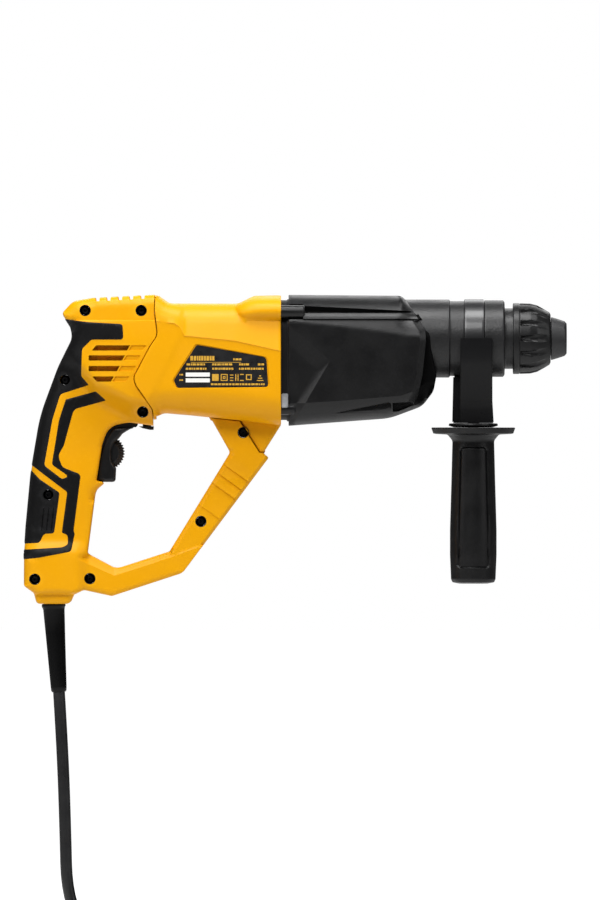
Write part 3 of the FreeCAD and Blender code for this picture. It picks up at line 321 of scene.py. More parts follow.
METALS = (
    # name, base colour, dark streaks, roughness and, where it isn't turned stock, the streaks' scale
    ("steel", (0.62, 0.62, 0.64), (0.42, 0.42, 0.44), 0.32),
    ("bearing_steel", (0.78, 0.78, 0.8), (0.66, 0.66, 0.68), 0.16),
    ("lamination_steel", (0.30, 0.30, 0.32), (0.18, 0.18, 0.2), 0.45, (220.0, 1.0, 1.0)),
    ("cast_aluminium", (0.55, 0.56, 0.57), (0.38, 0.39, 0.4), 0.42, (6.0, 6.0, 6.0)),
    ("copper", (0.72, 0.33, 0.15), (0.5, 0.2, 0.09), 0.35),
    ("brass", (0.76, 0.58, 0.26), (0.6, 0.42, 0.16), 0.32),
    ("nickel_brass", (0.72, 0.71, 0.68), (0.6, 0.59, 0.56), 0.2),
    ("dark_screws", (0.03, 0.03, 0.032), (0.016, 0.016, 0.017), 0.45),
)
LOOK = {row[0]: moulded_plastic(*row[:5], **row[5]) for row in PLASTICS}
LOOK.update({row[0]: brushed_metal(*row) for row in METALS})
LOOK["label_film"] = printed_film("label_film")
LOOK["amber_ink"] = ink("amber_ink", (0.62, 0.34, 0.03), (0.5, 0.27, 0.02))
LOOK["white_ink"] = ink("white_ink", (0.82, 0.82, 0.78), (0.72, 0.72, 0.68))


# ------------------------------------------------------------------ mesh helpers
def finish_piece(name, mesh, body, slot, replaced=(), look=None, sharp=38.0, lines=()):
    """Link a mesh as a named piece: smooth between sharp edges and crisp along the given lines.

    look names a material where the piece differs from its slot."""
    mesh.shade_smooth()
    mesh.set_sharp_from_angle(angle=math.radians(sharp))
    if lines:
        mark_sharp(mesh, lines)
    mesh.materials.append(LOOK[look or slot])
    obj = bpy.data.objects.new(name, mesh)
    bpy.context.collection.objects.link(obj)
    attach(obj, body)
    if replaced:
        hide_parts(*replaced)
    return obj


def mark_sharp(mesh, lines):
    """Mark the mesh edges that lie on any of the (x, z) lines as sharp."""
    points = np.empty(len(mesh.vertices) * 3)
    mesh.vertices.foreach_get("co", points)
    flat = points.reshape(-1, 3)[:, (0, 2)] / MM
    ends = np.empty(len(mesh.edges) * 2, dtype=int)
    mesh.edges.foreach_get("vertices", ends)
    ends = ends.reshape(-1, 2)
    middle = (flat[ends[:, 0]] + flat[ends[:, 1]]) / 2
    sharp = mesh.attributes["sharp_edge"].data
    near = np.zeros(len(ends), dtype=bool)
    for line in lines:
        line = np.asarray(line, dtype=float)
        on = within(flat, line, 0.02, False)
        near |= on[ends[:, 0]] & on[ends[:, 1]] & within(middle, line, 0.02, False)
    for i in np.nonzero(near)[0]:
        sharp[int(i)].value = True


def make_mesh(name, bm):
    """Turn a finished bmesh into a mesh."""
    mesh = bpy.data.meshes.new(name)
    bm.to_mesh(mesh)
    bm.free()
    return mesh


def skin(bm, rings):
    """Join each closed ring of vertices to the next with four-sided faces."""
    for near, far in zip(rings[:-1], rings[1:]):
        for i in range(len(near)):
            j = (i + 1) % len(near)
            bm.faces.new((near[i], near[j], far[j], far[i]))


def extrude(bm, points, move):
    """A prism: a flat loop of (x, y, z) points drawn out along move, all in millimetres."""
    face = bm.faces.new([bm.verts.new([c * MM for c in p]) for p in points])
    made = bmesh.ops.extrude_face_region(bm, geom=[face])
    ends = [g for g in made["geom"] if isinstance(g, bmesh.types.BMVert)]
    bmesh.ops.translate(bm, verts=ends, vec=[c * MM for c in move])


def arc_points(corner, before, after, radius, step):
    """Points of the tangent arc that rounds one corner."""
    into = (before - corner).normalized()
    out = (after - corner).normalized()
    half = into.angle(out) / 2
    if radius <= 0 or abs(half - math.pi / 2) < 1e-3:
        return [corner]
    room = 0.49 * min((before - corner).length, (after - corner).length)
    reach = min(radius / math.tan(half), room)
    radius = reach * math.tan(half)
    centre = corner + (into + out).normalized() * (radius / math.sin(half))
    start = corner + into * reach - centre
    turn = start.angle_signed(corner + out * reach - centre)
    count = max(2, math.ceil(abs(turn) * radius / step))
    return [centre + Matrix.Rotation(-turn * i / count, 2) @ start for i in range(count + 1)]


def rounded(points, step=1.2):
    """A closed loop through (u, v, corner radius), dense along its arcs and runs.

    Returns the loop and, for each of its points, the index of the corner that it came from."""
    corners = [Vector(p[:2]) for p in points]
    count = len(corners)
    loop = []
    owner = []
    for i in range(count):
        for p in arc_points(corners[i], corners[i - 1], corners[(i + 1) % count], points[i][2], step):
            loop.append(p)
            owner.append(i)
    dense = []
    owners = []
    for i, p in enumerate(loop):
        q = loop[(i + 1) % len(loop)]
        pieces = max(1, math.ceil((q - p).length / step))
        for k in range(pieces):
            dense.append(p.lerp(q, k / pieces))
            owners.append(owner[i])
    return np.array([tuple(p) for p in dense]), np.array(owners)


def polyline(points, step=1.5):
    """An open line through (x, z) points, divided into short steps."""
    points = [np.array(p, dtype=float) for p in points]
    dense = [points[0]]
    for a, b in zip(points[:-1], points[1:]):
        pieces = max(1, math.ceil(np.linalg.norm(b - a) / step))
        dense += [a + (b - a) * (k + 1) / pieces for k in range(pieces)]
    return np.array(dense)


def beside(line, gap):
    """The same open line moved sideways; a positive gap is to the left of its direction."""
    way = np.gradient(line, axis=0)
    way /= np.maximum(np.linalg.norm(way, axis=1, keepdims=True), 1e-9)
    return line + np.stack([-way[:, 1], way[:, 0]], axis=1) * gap


def inside(points, loop):
    """Which 2D points lie inside a closed loop."""
    x, y = points[:, 0][:, None], points[:, 1][:, None]
    x0, y0 = loop[:, 0], loop[:, 1]
    x1, y1 = np.roll(x0, -1), np.roll(y0, -1)
    crosses = (y0 > y) != (y1 > y)
    at = x0 + (y - y0) * (x1 - x0) / np.where(y1 == y0, 1e-9, y1 - y0)
    return (np.sum(crosses & (x < at), axis=1) % 2) == 1


def distances(points, line, closed=True):
    """Distance of each point to each segment of a line, as an array (points, segments)."""
    a = line if closed else line[:-1]
    b = np.roll(line, -1, axis=0) if closed else line[1:]
    run = b - a
    long2 = np.maximum((run ** 2).sum(axis=1), 1e-12)
    out = np.empty((len(points), len(a)))
    batch = 2000
    for start in range(0, len(points), batch):
        p = points[start:start + batch]
        rel = p[:, None, :] - a[None, :, :]
        t = np.clip((rel * run).sum(axis=2) / long2, 0, 1)
        gap = rel - t[:, :, None] * run
        out[start:start + batch] = np.sqrt((gap ** 2).sum(axis=2))
    return out


def within(points, line, limit, closed=True):
    """Which points lie closer to a line than the limit."""
    maybe = np.all((points > line.min(axis=0) - limit) & (points < line.max(axis=0) + limit), axis=1)
    near = np.zeros(len(points), dtype=bool)
    if maybe.any():
        near[maybe] = distances(points[maybe], line, closed).min(axis=1) < limit
    return near


def ramp(value, low, high):
    """A smooth step from 0 at low to 1 at high."""
    t = np.clip((value - low) / (high - low), 0, 1)
    return t * t * (3 - 2 * t)


def side_of(x, z, start, end):
    """Signed distance from the line through start and end, positive on its left."""
    way = np.array(end, dtype=float) - np.array(start, dtype=float)
    way /= np.linalg.norm(way)
    return (z - start[1]) * way[0] - (x - start[0]) * way[1]


def circle(x, z, radius, count=20):
    """A round hole as a loop of (x, z, 0) points."""
    turns = [2 * math.pi * i / count for i in range(count)]
    return [(x + radius * math.cos(a), z + radius * math.sin(a), 0) for a in turns]


def loop_normals(loop):
    """Inward unit normals of a closed loop, one for each point."""
    way = np.roll(loop, -1, axis=0) - np.roll(loop, 1, axis=0)
    way /= np.maximum(np.linalg.norm(way, axis=1, keepdims=True), 1e-9)
    normal = np.stack([-way[:, 1], way[:, 0]], axis=1)
    area = np.sum(loop[:, 0] * np.roll(loop[:, 1], -1) - np.roll(loop[:, 0], -1) * loop[:, 1])
    return normal if area > 0 else -normal


STEP_RUN = 0.35
WALL_DEEP = 3.0


class Shell:
    """One side of a moulded housing: an outline in the XZ plane inflated to a width in Y.

    The outline is a list of (x, z, corner radius, edge roll, lip). The roll is the radius that
    turns the side face into the edge. The lip is how far from the middle plane the edge wall
    ends; a negative one is the wall's own height. width(x, z) is the half width before the roll.
    zones are inlays, holes go through, dents are (loop, drop) and flats are (loop, half width).
    creases are lines that stay crisp. seam is the depth of the groove at the middle plane."""

    def __init__(self, outline, width, zones=(), holes=(), dents=(), flats=(), creases=(),
                 spacing=2.2, seam=0.4):
        self.seam = seam
        edge_rows = (0.35, 1.0, 2.2, 4.0, 6.5)
        self.loop, owner = rounded([p[:3] for p in outline])
        self.normal = loop_normals(self.loop)
        self.roll = np.array([outline[i][3] for i in owner], dtype=float)
        self.lip = np.array([outline[i][4] for i in owner], dtype=float)
        self.zones = [rounded(z)[0] for z in zones]
        self.holes = [rounded(h, 0.8)[0] for h in holes]
        pits = [(rounded(points)[0], value, "drop") for points, value in dents]
        pits += [(rounded(points)[0], value, "level") for points, value in flats]
        floors = [outer + loop_normals(outer) * STEP_RUN for outer, _, _ in pits]
        self.lines = [polyline(c) if len(c) < 12 else c for c in creases]
        loops = self.zones + self.holes + [p[0] for p in pits] + floors
        self.lines += [np.concatenate([p, p[:1]]) for p in [p[0] for p in pits] + floors]

        rings = [self.loop + self.normal * gap for gap in edge_rows]
        near_zones = [z + loop_normals(z) * side * 0.45 for z in self.zones for side in (-1, 1)]
        low = self.loop.min(axis=0)
        high = self.loop.max(axis=0)
        rows = []
        z = low[1]
        odd = False
        while z < high[1]:
            xs = np.arange(low[0] + (spacing / 2 if odd else 0), high[0], spacing)
            rows.append(np.stack([xs, np.full_like(xs, z)], axis=1))
            z += spacing * 0.87
            odd = not odd

        def clear_of_edges(cloud, own_gap, line_gap=0.5):
            cloud = cloud[inside(cloud, self.loop)]
            free = distances(cloud, self.loop).min(axis=1) > own_gap
            for other in loops:
                free &= ~within(cloud, other, min(own_gap, line_gap))
            for line in self.lines:
                free &= ~within(cloud, line, min(own_gap, line_gap), False)
            return cloud[free]

        clouds = [clear_of_edges(np.concatenate(rows), 0.9)]
        clouds += [clear_of_edges(c, gap * 0.93) for gap, c in zip(edge_rows, rings)]
        clouds += [clear_of_edges(c, 0.4, 0.3) for c in near_zones]
        spaced = {}
        for p in np.concatenate(clouds):
            spaced.setdefault((round(p[0] / 0.6), round(p[1] / 0.6)), p)

        verts = []
        edges = []
        for line, closed in [(o, True) for o in [self.loop] + loops] + [(c, False) for c in self.lines]:
            base = len(verts)
            verts += [Vector(p) for p in line]
            edges += [(base + i, base + i + 1) for i in range(len(line) - 1)]
            if closed:
                edges.append((base + len(line) - 1, base))
        verts += [Vector(p) for p in spaced.values()]
        made = geometry.delaunay_2d_cdt(verts, edges, [], 0, 1e-4)
        self.points = np.array([tuple(v) for v in made[0]])
        faces = np.array([f for f in made[2] if len(f) == 3])
        middle = self.points[faces].mean(axis=1)
        wanted = inside(middle, self.loop)
        for hole in self.holes:
            wanted &= ~inside(middle, hole)
        self.faces = faces[wanted]
        middle = middle[wanted]
        self.in_zone = np.zeros(len(self.faces), dtype=bool)
        for zone in self.zones:
            self.in_zone |= inside(middle, zone)

        gaps = distances(self.points, self.loop)
        reach = np.clip(self.roll[None, :] - gaps, 0, None)
        drop = self.roll[None, :] - np.sqrt(np.clip(self.roll[None, :] ** 2 - reach ** 2, 0, None))
        self.on_outline = gaps.min(axis=1) < 0.02
        self.nearest = gaps.argmin(axis=1)
        self.depth = width(self.points[:, 0], self.points[:, 1]) - drop.max(axis=1)
        for outer, value, kind in pits:
            deep = inside(self.points, outer) * distances(self.points, outer).min(axis=1)
            share = np.clip(deep / (STEP_RUN * 0.95), 0, 1)
            if kind == "drop":
                self.depth -= value * share
            else:
                self.depth += share * (np.minimum(self.depth, value) - self.depth)
        self.zone_gap = np.zeros(len(self.points))
        for zone in self.zones:
            deep = inside(self.points, zone) * distances(self.points, zone).min(axis=1)
            self.zone_gap = np.maximum(self.zone_gap, deep)

    def surface(self, side, faces, raised):
        """The outer face of one side as 3D points; the inlays' area stands out by raised."""
        points = np.stack([self.points[:, 0], side * self.depth, self.points[:, 1]], axis=1)
        a, b, c = (points[faces[:, k]] for k in range(3))
        normal = np.cross(b - a, c - a)
        normal *= np.sign(normal[:, 1] * side)[:, None]
        total = np.zeros_like(points)
        for k in range(3):
            np.add.at(total, faces[:, k], normal)
        total /= np.maximum(np.linalg.norm(total, axis=1, keepdims=True), 1e-9)
        return points + total * (raised * ramp(self.zone_gap, 0.0, 0.45))[:, None]

    def mesh(self, name, sides, inlay=False, raised=0.0):
        """A mesh of the given sides (-1 right, 1 left): the whole face, or only its inlays."""
        faces = self.faces[self.in_zone] if inlay else self.faces
        verts = []
        polys = []
        for side in sides:
            points = self.surface(side, faces, raised)
            base = len(verts)
            used = {int(v): base + i for i, v in enumerate(np.unique(faces))}
            verts += [tuple(points[v]) for v in used]
            made = {}
            border = {}
            for f in faces:
                f = [int(v) for v in f]
                a, b, c = (points[v] for v in f)
                if np.cross(b - a, c - a)[1] * side < 0:
                    f.reverse()
                polys.append([used[v] for v in f])
                for a, b in zip(f, f[1:] + f[:1]):
                    if border.pop((b, a), None) is None:
                        border[(a, b)] = True
            for a, b in border:
                outer = bool(self.on_outline[a] and self.on_outline[b])
                rows = [[used[a], used[b]]]
                for row in range(2 if outer else 1):
                    pair = []
                    for v in (a, b):
                        key = (v, outer, row)
                        if key not in made:
                            made[key] = len(verts)
                            verts.append(self.wall_point(v, side, points[v], outer, row))
                        pair.append(made[key])
                    rows.append(pair)
                for (a0, b0), (a1, b1) in zip(rows[:-1], rows[1:]):
                    polys.append([b0, a0, a1, b1])
        bm = bmesh.new()
        points = [bm.verts.new([c * MM for c in v]) for v in verts]
        for poly in polys:
            bm.faces.new([points[i] for i in poly])
        bmesh.ops.remove_doubles(bm, verts=bm.verts, dist=1e-6)
        bmesh.ops.dissolve_degenerate(bm, dist=1e-7, edges=bm.edges)
        return make_mesh(name, bm)

    def wall_point(self, v, side, point, outer, row):
        """A point of the wall that goes inwards from the rim of the outer face."""
        x, y, z = point
        if not outer:
            return (x, y - side * WALL_DEEP, z)
        lip = self.lip[self.nearest[v]]
        inward = self.normal[self.nearest[v]]
        if lip == 0:
            level, inset = ((0.35, 0.0), (0.0, self.seam))[row]
        else:
            level = min(lip, abs(y)) if lip > 0 else abs(y) + lip
            inset = 1.6 * row
        return (x + inward[0] * inset, side * level, z + inward[1] * inset)


def lathe(name, profile, origin, axis, body, slot, replaced=(), segments=96, step=1.2, shape=None,
          sharp=38.0, look=None):
    """Revolve a closed (along, radius, corner radius) loop; shape(along, angle, radius) bends it."""
    loop, _ = rounded(profile, step)
    bm = bmesh.new()
    rings = []
    for k in range(segments):
        angle = 2 * math.pi * k / segments
        ring = []
        for along, radius in loop:
            r = max(shape(along, angle, radius) if shape else radius, 0.0)
            u, v = r * math.cos(angle), r * math.sin(angle)
            place = {"x": (along, u, v), "z": (u, v, along), "y": (v, along, u)}[axis]
            ring.append(bm.verts.new([(p + o) * MM for p, o in zip(place, origin)]))
        rings.append(ring)
    skin(bm, rings + rings[:1])
    bmesh.ops.remove_doubles(bm, verts=bm.verts, dist=1e-7)
    bmesh.ops.dissolve_degenerate(bm, dist=1e-7, edges=bm.edges)
    bmesh.ops.recalc_face_normals(bm, faces=bm.faces)
    return finish_piece(name, make_mesh(name, bm), body, slot, replaced, look, sharp)


def plate_mesh(name, loops, near_y, far_y, bevel=0.0):
    """Flat prisms between two Y levels, one for each closed (x, z) loop."""
    bm = bmesh.new()
    for loop in loops:
        extrude(bm, [(x, near_y, z) for x, z in loop], (0, far_y - near_y, 0))
    if bevel:
        bmesh.ops.bevel(bm, geom=list(bm.edges), offset=bevel * MM, segments=2, affect="EDGES",
                        clamp_overlap=True)
    bmesh.ops.recalc_face_normals(bm, faces=bm.faces)
    return make_mesh(name, bm)


def soften(node, width):
    """Round the edges of a CAD piece with a bevel."""
    obj = frame["nodes"][node]
    mod = obj.modifiers.new("edges", "BEVEL")
    mod.width = width * MM
    mod.segments = 3
    mod.limit_method = "ANGLE"
    mod.angle_limit = math.radians(30.0)
    mod.harden_normals = False


# ------------------------------------------------------------------ handle
TOP_RIB_X = (21.7, 29.4, 37.5, 45.2, 53.2)
SCREWS = [
    (13.1, 99.4), (52.3, 99.3), (-1.2, 51.0), (53.3, 28.6), (-12.9, -29.3), (-22.2, -88.3),
    (16.2, -87.9), (93.8, -47.9), (123.4, 14.2),
]
SPINE_LINE = [(-5.0, 92.9), (12.0, 92.5), (66.0, 92.3)]
# distances along the strut of its three raised bands, and of the ledge below them
BANDS = (-57.3, -49.9, -42.1)
LEDGE = -24.3
STRUT_WAY = (-0.58, -0.815)
BRACE = [(4.6, -73.0), (33.3, -85.9), (72.5, -73.2), (94.5, -65.0)]
# half widths of the palm grip, the base and the strut
PALM_Y, BASE_Y, STRUT_Y = 15.6, 19.6, 14.4
# the strut's two long edges: start, end, how wide the chamfer along it is, and its side of the edge
STRUT_RIMS = [((71.8, -68.9), (114.2, 0.4), 2.9, -1), ((94.5, -66.5), (141.2, -3.4), 2.3, 1)]
CHAMFER_SLOPE = 0.85
BAND_TALL = 1.4
LEDGE_TALL = 0.7
SPINE_Z = 92.3


def handle_outline():
    """(x, z, corner radius, edge roll, lip) round one handle shell, clockwise from the top front."""
    half_notch = 1.2
    notch_deep = 2.6
    points = [(61.6, 110.4, 0, 7, 0)]
    for x in reversed(TOP_RIB_X):
        top = 108.4 + (x - 19.6) * 0.05
        points += [
            (x + half_notch + 0.4, top, 0.4, 0.6, 0), (x + half_notch, top - notch_deep, 0.3, 0.6, 0),
            (x - half_notch, top - notch_deep, 0.3, 0.6, 0), (x - half_notch - 0.4, top, 0.4, 7, 0),
        ]
    points += [
        (18.0, 108.3, 20, 8, 0), (4.5, 106.0, 10, 8, 0), (-3.4, 97.5, 3, 6, 0), (3.0, 87.5, 6, 9, 0),
        (4.2, 80.0, 14, 13, 0), (-6.0, 60.0, 60, 14, 0), (-18.6, 26.0, 120, 14, 0),
        (-25.0, -12.0, 200, 14, 0), (-28.6, -50.0, 0, 12, 0), (-29.9, -70.0, 20, 8, 0),
        (-30.0, -93.0, 3, 5, 0), (-23.0, -98.0, 2, 3, 0), (-21.0, -105.6, 3, 3, 0),
        (2.2, -105.6, 4, 3, 0), (5.0, -99.3, 1, 3, 0), (12.0, -95.9, 4, 3, 0),
        (31.5, -100.2, 3, 2.6, 0), (81.0, -84.0, 8, 0.8, 0), (141.2, -3.4, 1, 2.4, 0),
        (137.4, 0.0, 0, 0.6, -2), (134.7, 0.1, 0, 0.6, -2), (120.9, 22.1, 0, 0.6, -2),
        (100.6, 24.4, 0, 2.2, 0), (114.2, 0.4, 3, 0.8, 0), (71.8, -68.9, 2, 1.2, 0),
        (34.5, -81.0, 9, 1.2, 0), (14.4, -70.3, 2, 2.0, 0), (19.4, -32.2, 12, 6, 0),
        (20.4, -26.0, 8, 4, 0), (27.0, -20.8, 1, 2.5, 9.6), (20.8, -19.4, 1, 2.5, 9.6),
        (24.8, 6.0, 16, 3.5, 9.6), (29.5, 18.5, 12, 3.5, 9.6), (43.0, 21.4, 20, 3, 0),
        (60.4, 18.9, 0, 0.7, -3), (60.2, 30.0, 8, 0.7, -3), (48.3, 47.0, 8, 0.7, -3),
        (46.6, 52.5, 8, 0.7, -3), (58.0, 74.0, 10, 0.7, -3), (63.4, 82.0, 8, 0.7, -3),
        (61.3, 99.0, 30, 0.7, -3),
    ]
    return points


def handle_width(x, z):
    """Half width of the handle: grip, rear housing, base with its collar, and the front strut."""
    rear = np.clip(27.0 + 12.0 * (x + 4.0) / 67.0, 24.0, 38.8) - 1.2 * ramp(np.abs(z - 70.0), 6, 40)
    foot_of_rear = np.interp(x, (-12.0, 2.0, 20.0, 44.0, 66.0), (62.0, 54.0, 33.0, 21.0, 17.0))
    palm = PALM_Y + 1.3 * ramp(34 - np.abs(z + 22.0), 0, 34) - 0.6 * ramp(x, 0, 18)
    wide = palm + (rear - palm) * ramp(z - foot_of_rear, 0.0, 19.0)
    base = ramp(-z, 60.0, 71.0) * (1 - ramp(x, 6.0, 16.0))
    strut = ramp(x, 10.0, 26.0) * ramp(-(z - 12.0) + (x - 60.0) * 0.6, 0.0, 14.0)
    wide = wide + (BASE_Y - wide) * base
    wide = wide + (STRUT_Y - wide) * strut * (1 - base)
    wide -= 4.2 * ramp(-z, 97.2, 99.4) * (1 - ramp(x, 8, 12))
    wide -= 0.9 * ramp(z, SPINE_Z, SPINE_Z + STEP_RUN) * ramp(x, -6.0, 2.0)
    along = STRUT_WAY[0] * x + STRUT_WAY[1] * z
    below = strut * (x > 70) * (z < 10)
    for end in BANDS:
        wide += below * BAND_TALL * np.clip((along - end + 7.6) / 7.4, 0, 1) * (along < end)
    wide += below * LEDGE_TALL * np.clip((along - LEDGE + 9.0) / 9.0, 0, 1) * (along < LEDGE)
    # the wide chamfer along the upper edge of the lower brace, and the fold it runs into
    at = np.stack([x, z], axis=1)
    above = (side_of(x, z, BRACE[0], BRACE[1]) > 0) & (x < 33.3)
    above |= (side_of(x, z, BRACE[1], BRACE[2]) > 0) & (x >= 33.3) & (x < 72.5)
    low_side = ramp(-side_of(x, z, BRACE[0], (14.4, -70.3)), 0.0, 2.5)
    gap = distances(at, np.array(BRACE[:3]), False).min(axis=1)
    wide -= 0.75 * gap * above * low_side * (z < -68.0) * (x > 4.6) * (x < 80)
    wide -= 0.55 * ramp(side_of(x, z, BRACE[2], BRACE[3]), 0.0, STEP_RUN) * (x >= 72.5) * (z < -20)
    on_strut = (x > 74) & (z < 21) & (side_of(x, z, BRACE[2], BRACE[3]) > 0)
    for start, end, chamfer, _ in STRUT_RIMS:
        gap = distances(at, np.array([start, end], dtype=float), False)[:, 0]
        wide -= CHAMFER_SLOPE * np.clip(chamfer - gap, 0, None) * on_strut
    return wide


RUBBER_BACK = [
    (-8.0, 96.0, 0), (0.3, 93.3, 0), (16.0, 91.2, 20), (39.3, 89.9, 2), (39.9, 79.0, 2),
    (17.5, 79.0, 3), (11.0, 72.5, 3), (10.3, 53.6, 3), (15.6, 47.4, 0.4), (-4.4, 41.0, 3),
    (-10.0, 23.0, 30), (-15.7, -8.8, 3), (-3.2, -18.3, 2), (1.4, -16.4, 1), (-10.4, -8.2, 3),
    (-5.4, 23.0, 30), (-0.6, 37.4, 1), (20.4, 43.0, 1.2), (27.6, 36.6, 0.4), (5.0, 30.4, 5),
    (-2.0, 5.0, 6), (-6.0, -2.0, 6), (-3.0, -10.0, 5), (9.9, -15.0, 3), (4.9, -54.0, 4),
    (5.6, -56.6, 1.5), (3.2, -69.0, 3), (-19.3, -73.3, 3), (-36.0, -75.0, 0), (-36.0, -68.0, 0),
    (-3.4, -66.0, 3), (0.9, -64.2, 2.6), (0.7, -57.4, 2.6), (-3.4, -55.8, 1), (0.4, -27.4, 2),
    (-24.0, -9.0, 0), (-36.0, 0.0, 0), (-26.0, 60.0, 0),
]
RUBBER_LOW = [
    (-36.0, -11.4, 0), (-24.5, -12.4, 0), (-18.9, -18.4, 4), (-4.9, -27.8, 2), (-8.8, -56.3, 2),
    (-16.0, -56.6, 3), (-18.9, -62.9, 3), (-36.0, -63.8, 0),
]
# a screw's well, a dark tube of painted shade in the hole: its depth below the face, the head's depth,
# its inner and outer radius
WELL_DEEP, HEAD_DEEP, WELL_BORE, WELL_OUT = 8.5, 5.6, 3.5, 4.06
# the yellow wall seen through the vents, behind the shell
VENT_LINER = [(14.6, 55), (19.6, 48.6), (58, 48.6), (58, 77.5), (14.6, 77.5)]
VENT_TALL = 3.7
# top level, upper and lower left ends, upper right end of the slot and of its shallow tail
VENTS = (
    (75.1, 21.0, 17.6, 44.6, 56.2), (68.1, 15.6, 15.6, 41.1, 52.1), (60.7, 15.6, 15.6, 37.5, 48.7),
    (53.4, 18.0, 21.2, 33.3, 44.3),
)


def vent_holes():
    """Four cooling slots with slanted ends, each shorter than the one above."""
    return [[(left, top, 0.4), (right, top, 0.2), (right - 2.2, top - VENT_TALL, 0.2),
             (low_left, top - VENT_TALL, 0.4)] for top, left, low_left, right, _ in VENTS]


def vent_tails():
    """The shallow pocket that carries each slot on to the right."""
    return [([(right + 0.9, top, 0.2), (tail, top, 0.2), (tail - 2.5, top - VENT_TALL, 0.2),
              (right - 1.3, top - VENT_TALL, 0.2)], 1.0) for top, _, _, right, tail in VENTS]


def handle_creases():
    """The spine's ledge, the strut's bands and chamfers, and the fold of the lower brace."""
    lines = [SPINE_LINE, [(x, z + STEP_RUN) for x, z in SPINE_LINE]]
    across = (-STRUT_WAY[1], STRUT_WAY[0])
    for along in BANDS + (LEDGE,):
        for shift in (0.0, 0.3):
            foot = ((along + shift) * STRUT_WAY[0], (along + shift) * STRUT_WAY[1])
            lines.append([(foot[0] + across[0] * k, foot[1] + across[1] * k) for k in (80.0, 150.0)])
    lines.append(BRACE)
    for start, end, chamfer, side in STRUT_RIMS:
        lines.append(list(beside(np.array([start, end], dtype=float), side * chamfer)))
    return lines


def groove(x, z, long, tilt):
    """A slim slanted pocket."""
    lean = math.radians(tilt)
    ux, uz = math.cos(lean) * long / 2, math.sin(lean) * long / 2
    vx, vz = -math.sin(lean) * 0.55, math.cos(lean) * 0.55
    return [(x - ux - vx, z - uz - vz, 0.4), (x + ux - vx, z + uz - vz, 0.4),
            (x + ux + vx, z + uz + vz, 0.4), (x - ux + vx, z - uz + vz, 0.4)]


def screw(word, side, number, x, z):
    """A dark well, painted shade down the screw hole, with a cross-head screw at its bottom."""
    at = np.array([[x, z]])
    in_rubber = any(inside(at, rounded(zone)[0])[0] for zone in (RUBBER_BACK, RUBBER_LOW))
    face = float(handle_width(at[:, 0], at[:, 1])[0])
    rim, low = (face - (0.4 if in_rubber else 0.8)) * side, (face - WELL_DEEP) * side
    name = "%s_%d" % (word, number)
    # the well is dark plastic lining the hole: painted shade
    lathe("shade_well_" + name, [
        (low, WELL_BORE, 0), (rim, WELL_BORE, 0.2), (rim, WELL_OUT, 0.1), (low, WELL_OUT, 0),
    ], (x, 0, z), "y", "housing", "dark_plastic", [], 32)

    head = (face - HEAD_DEEP) * side
    lathe("screw_" + name, [
        (low, 0.0, 0), (low, 3.4, 0), (head - 0.8 * side, 3.4, 0.3), (head, 2.2, 0.6),
        (head, 1.0, 0.1), (head - 1.4 * side, 0.6, 0.1), (head - 1.4 * side, 0.0, 0),
    ], (x, 0, z), "y", "housing", "dark_screws", ["handle_screws"], 32)


def handle():
    slots = vent_holes()
    seats = [circle(x, z, 4.0, 28) for x, z in SCREWS]
    grip_lines = [(groove(x, -46.5, 17.0, 84.0), 0.5) for x in (-16.6, -13.2, -9.9)]
    shell = Shell(handle_outline(), handle_width, [RUBBER_BACK, RUBBER_LOW], slots + seats,
                  vent_tails() + grip_lines, creases=handle_creases())
    for side, word in ((-1, "right"), (1, "left")):
        for piece, inlay, raised, slot, node in (
            ("shell_", False, -1.0, "yellow_plastic", "handle_shell_"),
            ("overmould_", True, 0.35, "soft_rubber", "grip_overmould_"),
        ):
            mesh = shell.mesh(piece + word, [side], inlay, raised)
            finish_piece(piece + word, mesh, "housing", slot, [node + word], lines=shell.lines)
        liner = plate_mesh("vent_liner_" + word, [VENT_LINER], side * 22.0, side * 24.0, 0.6)
        for vert in liner.vertices:
            vert.co.y += side * 0.15 * max(0.0, vert.co.x - 12 * MM)
        finish_piece("vent_liner_" + word, liner, "housing", "yellow_plastic")
        ribs = plate_mesh("vent_ribs_" + word, [
            [(x, 47.5), (x + 0.9, 47.5), (x + 2.9, 77.5), (x + 2.0, 77.5)] for x in (20.4, 27.0, 33.6)],
            side * 24.0, side * 27.0, 0.2)
        finish_piece("vent_ribs_" + word, ribs, "housing", "yellow_plastic")
        for i, (x, z) in enumerate(SCREWS):
            screw(word, side, i, x, z)


handle()


# ------------------------------------------------------------------ motor housing
CREST = [(60.0, 92.3), (75.6, 90.5), (79.8, 87.4), (82.3, 81.8), (117.6, 78.3), (151.0, 70.9)]
HOUSING = [
    (149.8, 110.2, 1, 14, 0), (131.0, 109.8, 8, 14, 0), (120.0, 104.3, 10, 14, 0),
    (72.0, 104.4, 8, 14, 0), (64.8, 109.6, 0, 10, 0), (62.2, 110.0, 0, 0.7, -3),
    (61.8, 99.0, 30, 0.7, -3), (63.9, 82.0, 8, 0.7, -3), (58.5, 74.0, 10, 0.7, -3),
    (47.1, 52.5, 8, 0.7, -3), (48.8, 47.0, 8, 0.7, -3), (60.7, 30.0, 8, 0.7, -3),
    (60.9, 21.8, 0.3, 10, 0), (61.8, 25.2, 1.5, 12, 0), (68.0, 27.8, 8, 18, 0),
    (86.8, 26.2, 0, 20, 0), (121.4, 22.6, 0, 20, 0), (149.8, 19.2, 1, 1.0, -3),
]
FOOT = [
    (117.0, 30.0, 0, 1.5, 0), (121.6, 22.4, 0, 1.5, 0), (135.0, 0.4, 0.8, 1.5, 0),
    (137.8, 0.5, 2, 1.8, 0), (149.6, 19.2, 1, 1.5, 0), (149.6, 32.0, 0, 1.5, 0),
]
LABEL = [
    (91.0, 75.4, 2), (139.5, 66.6, 3), (141.0, 46.0, 2), (77.4, 45.4, 2), (75.0, 50.6, 2),
]
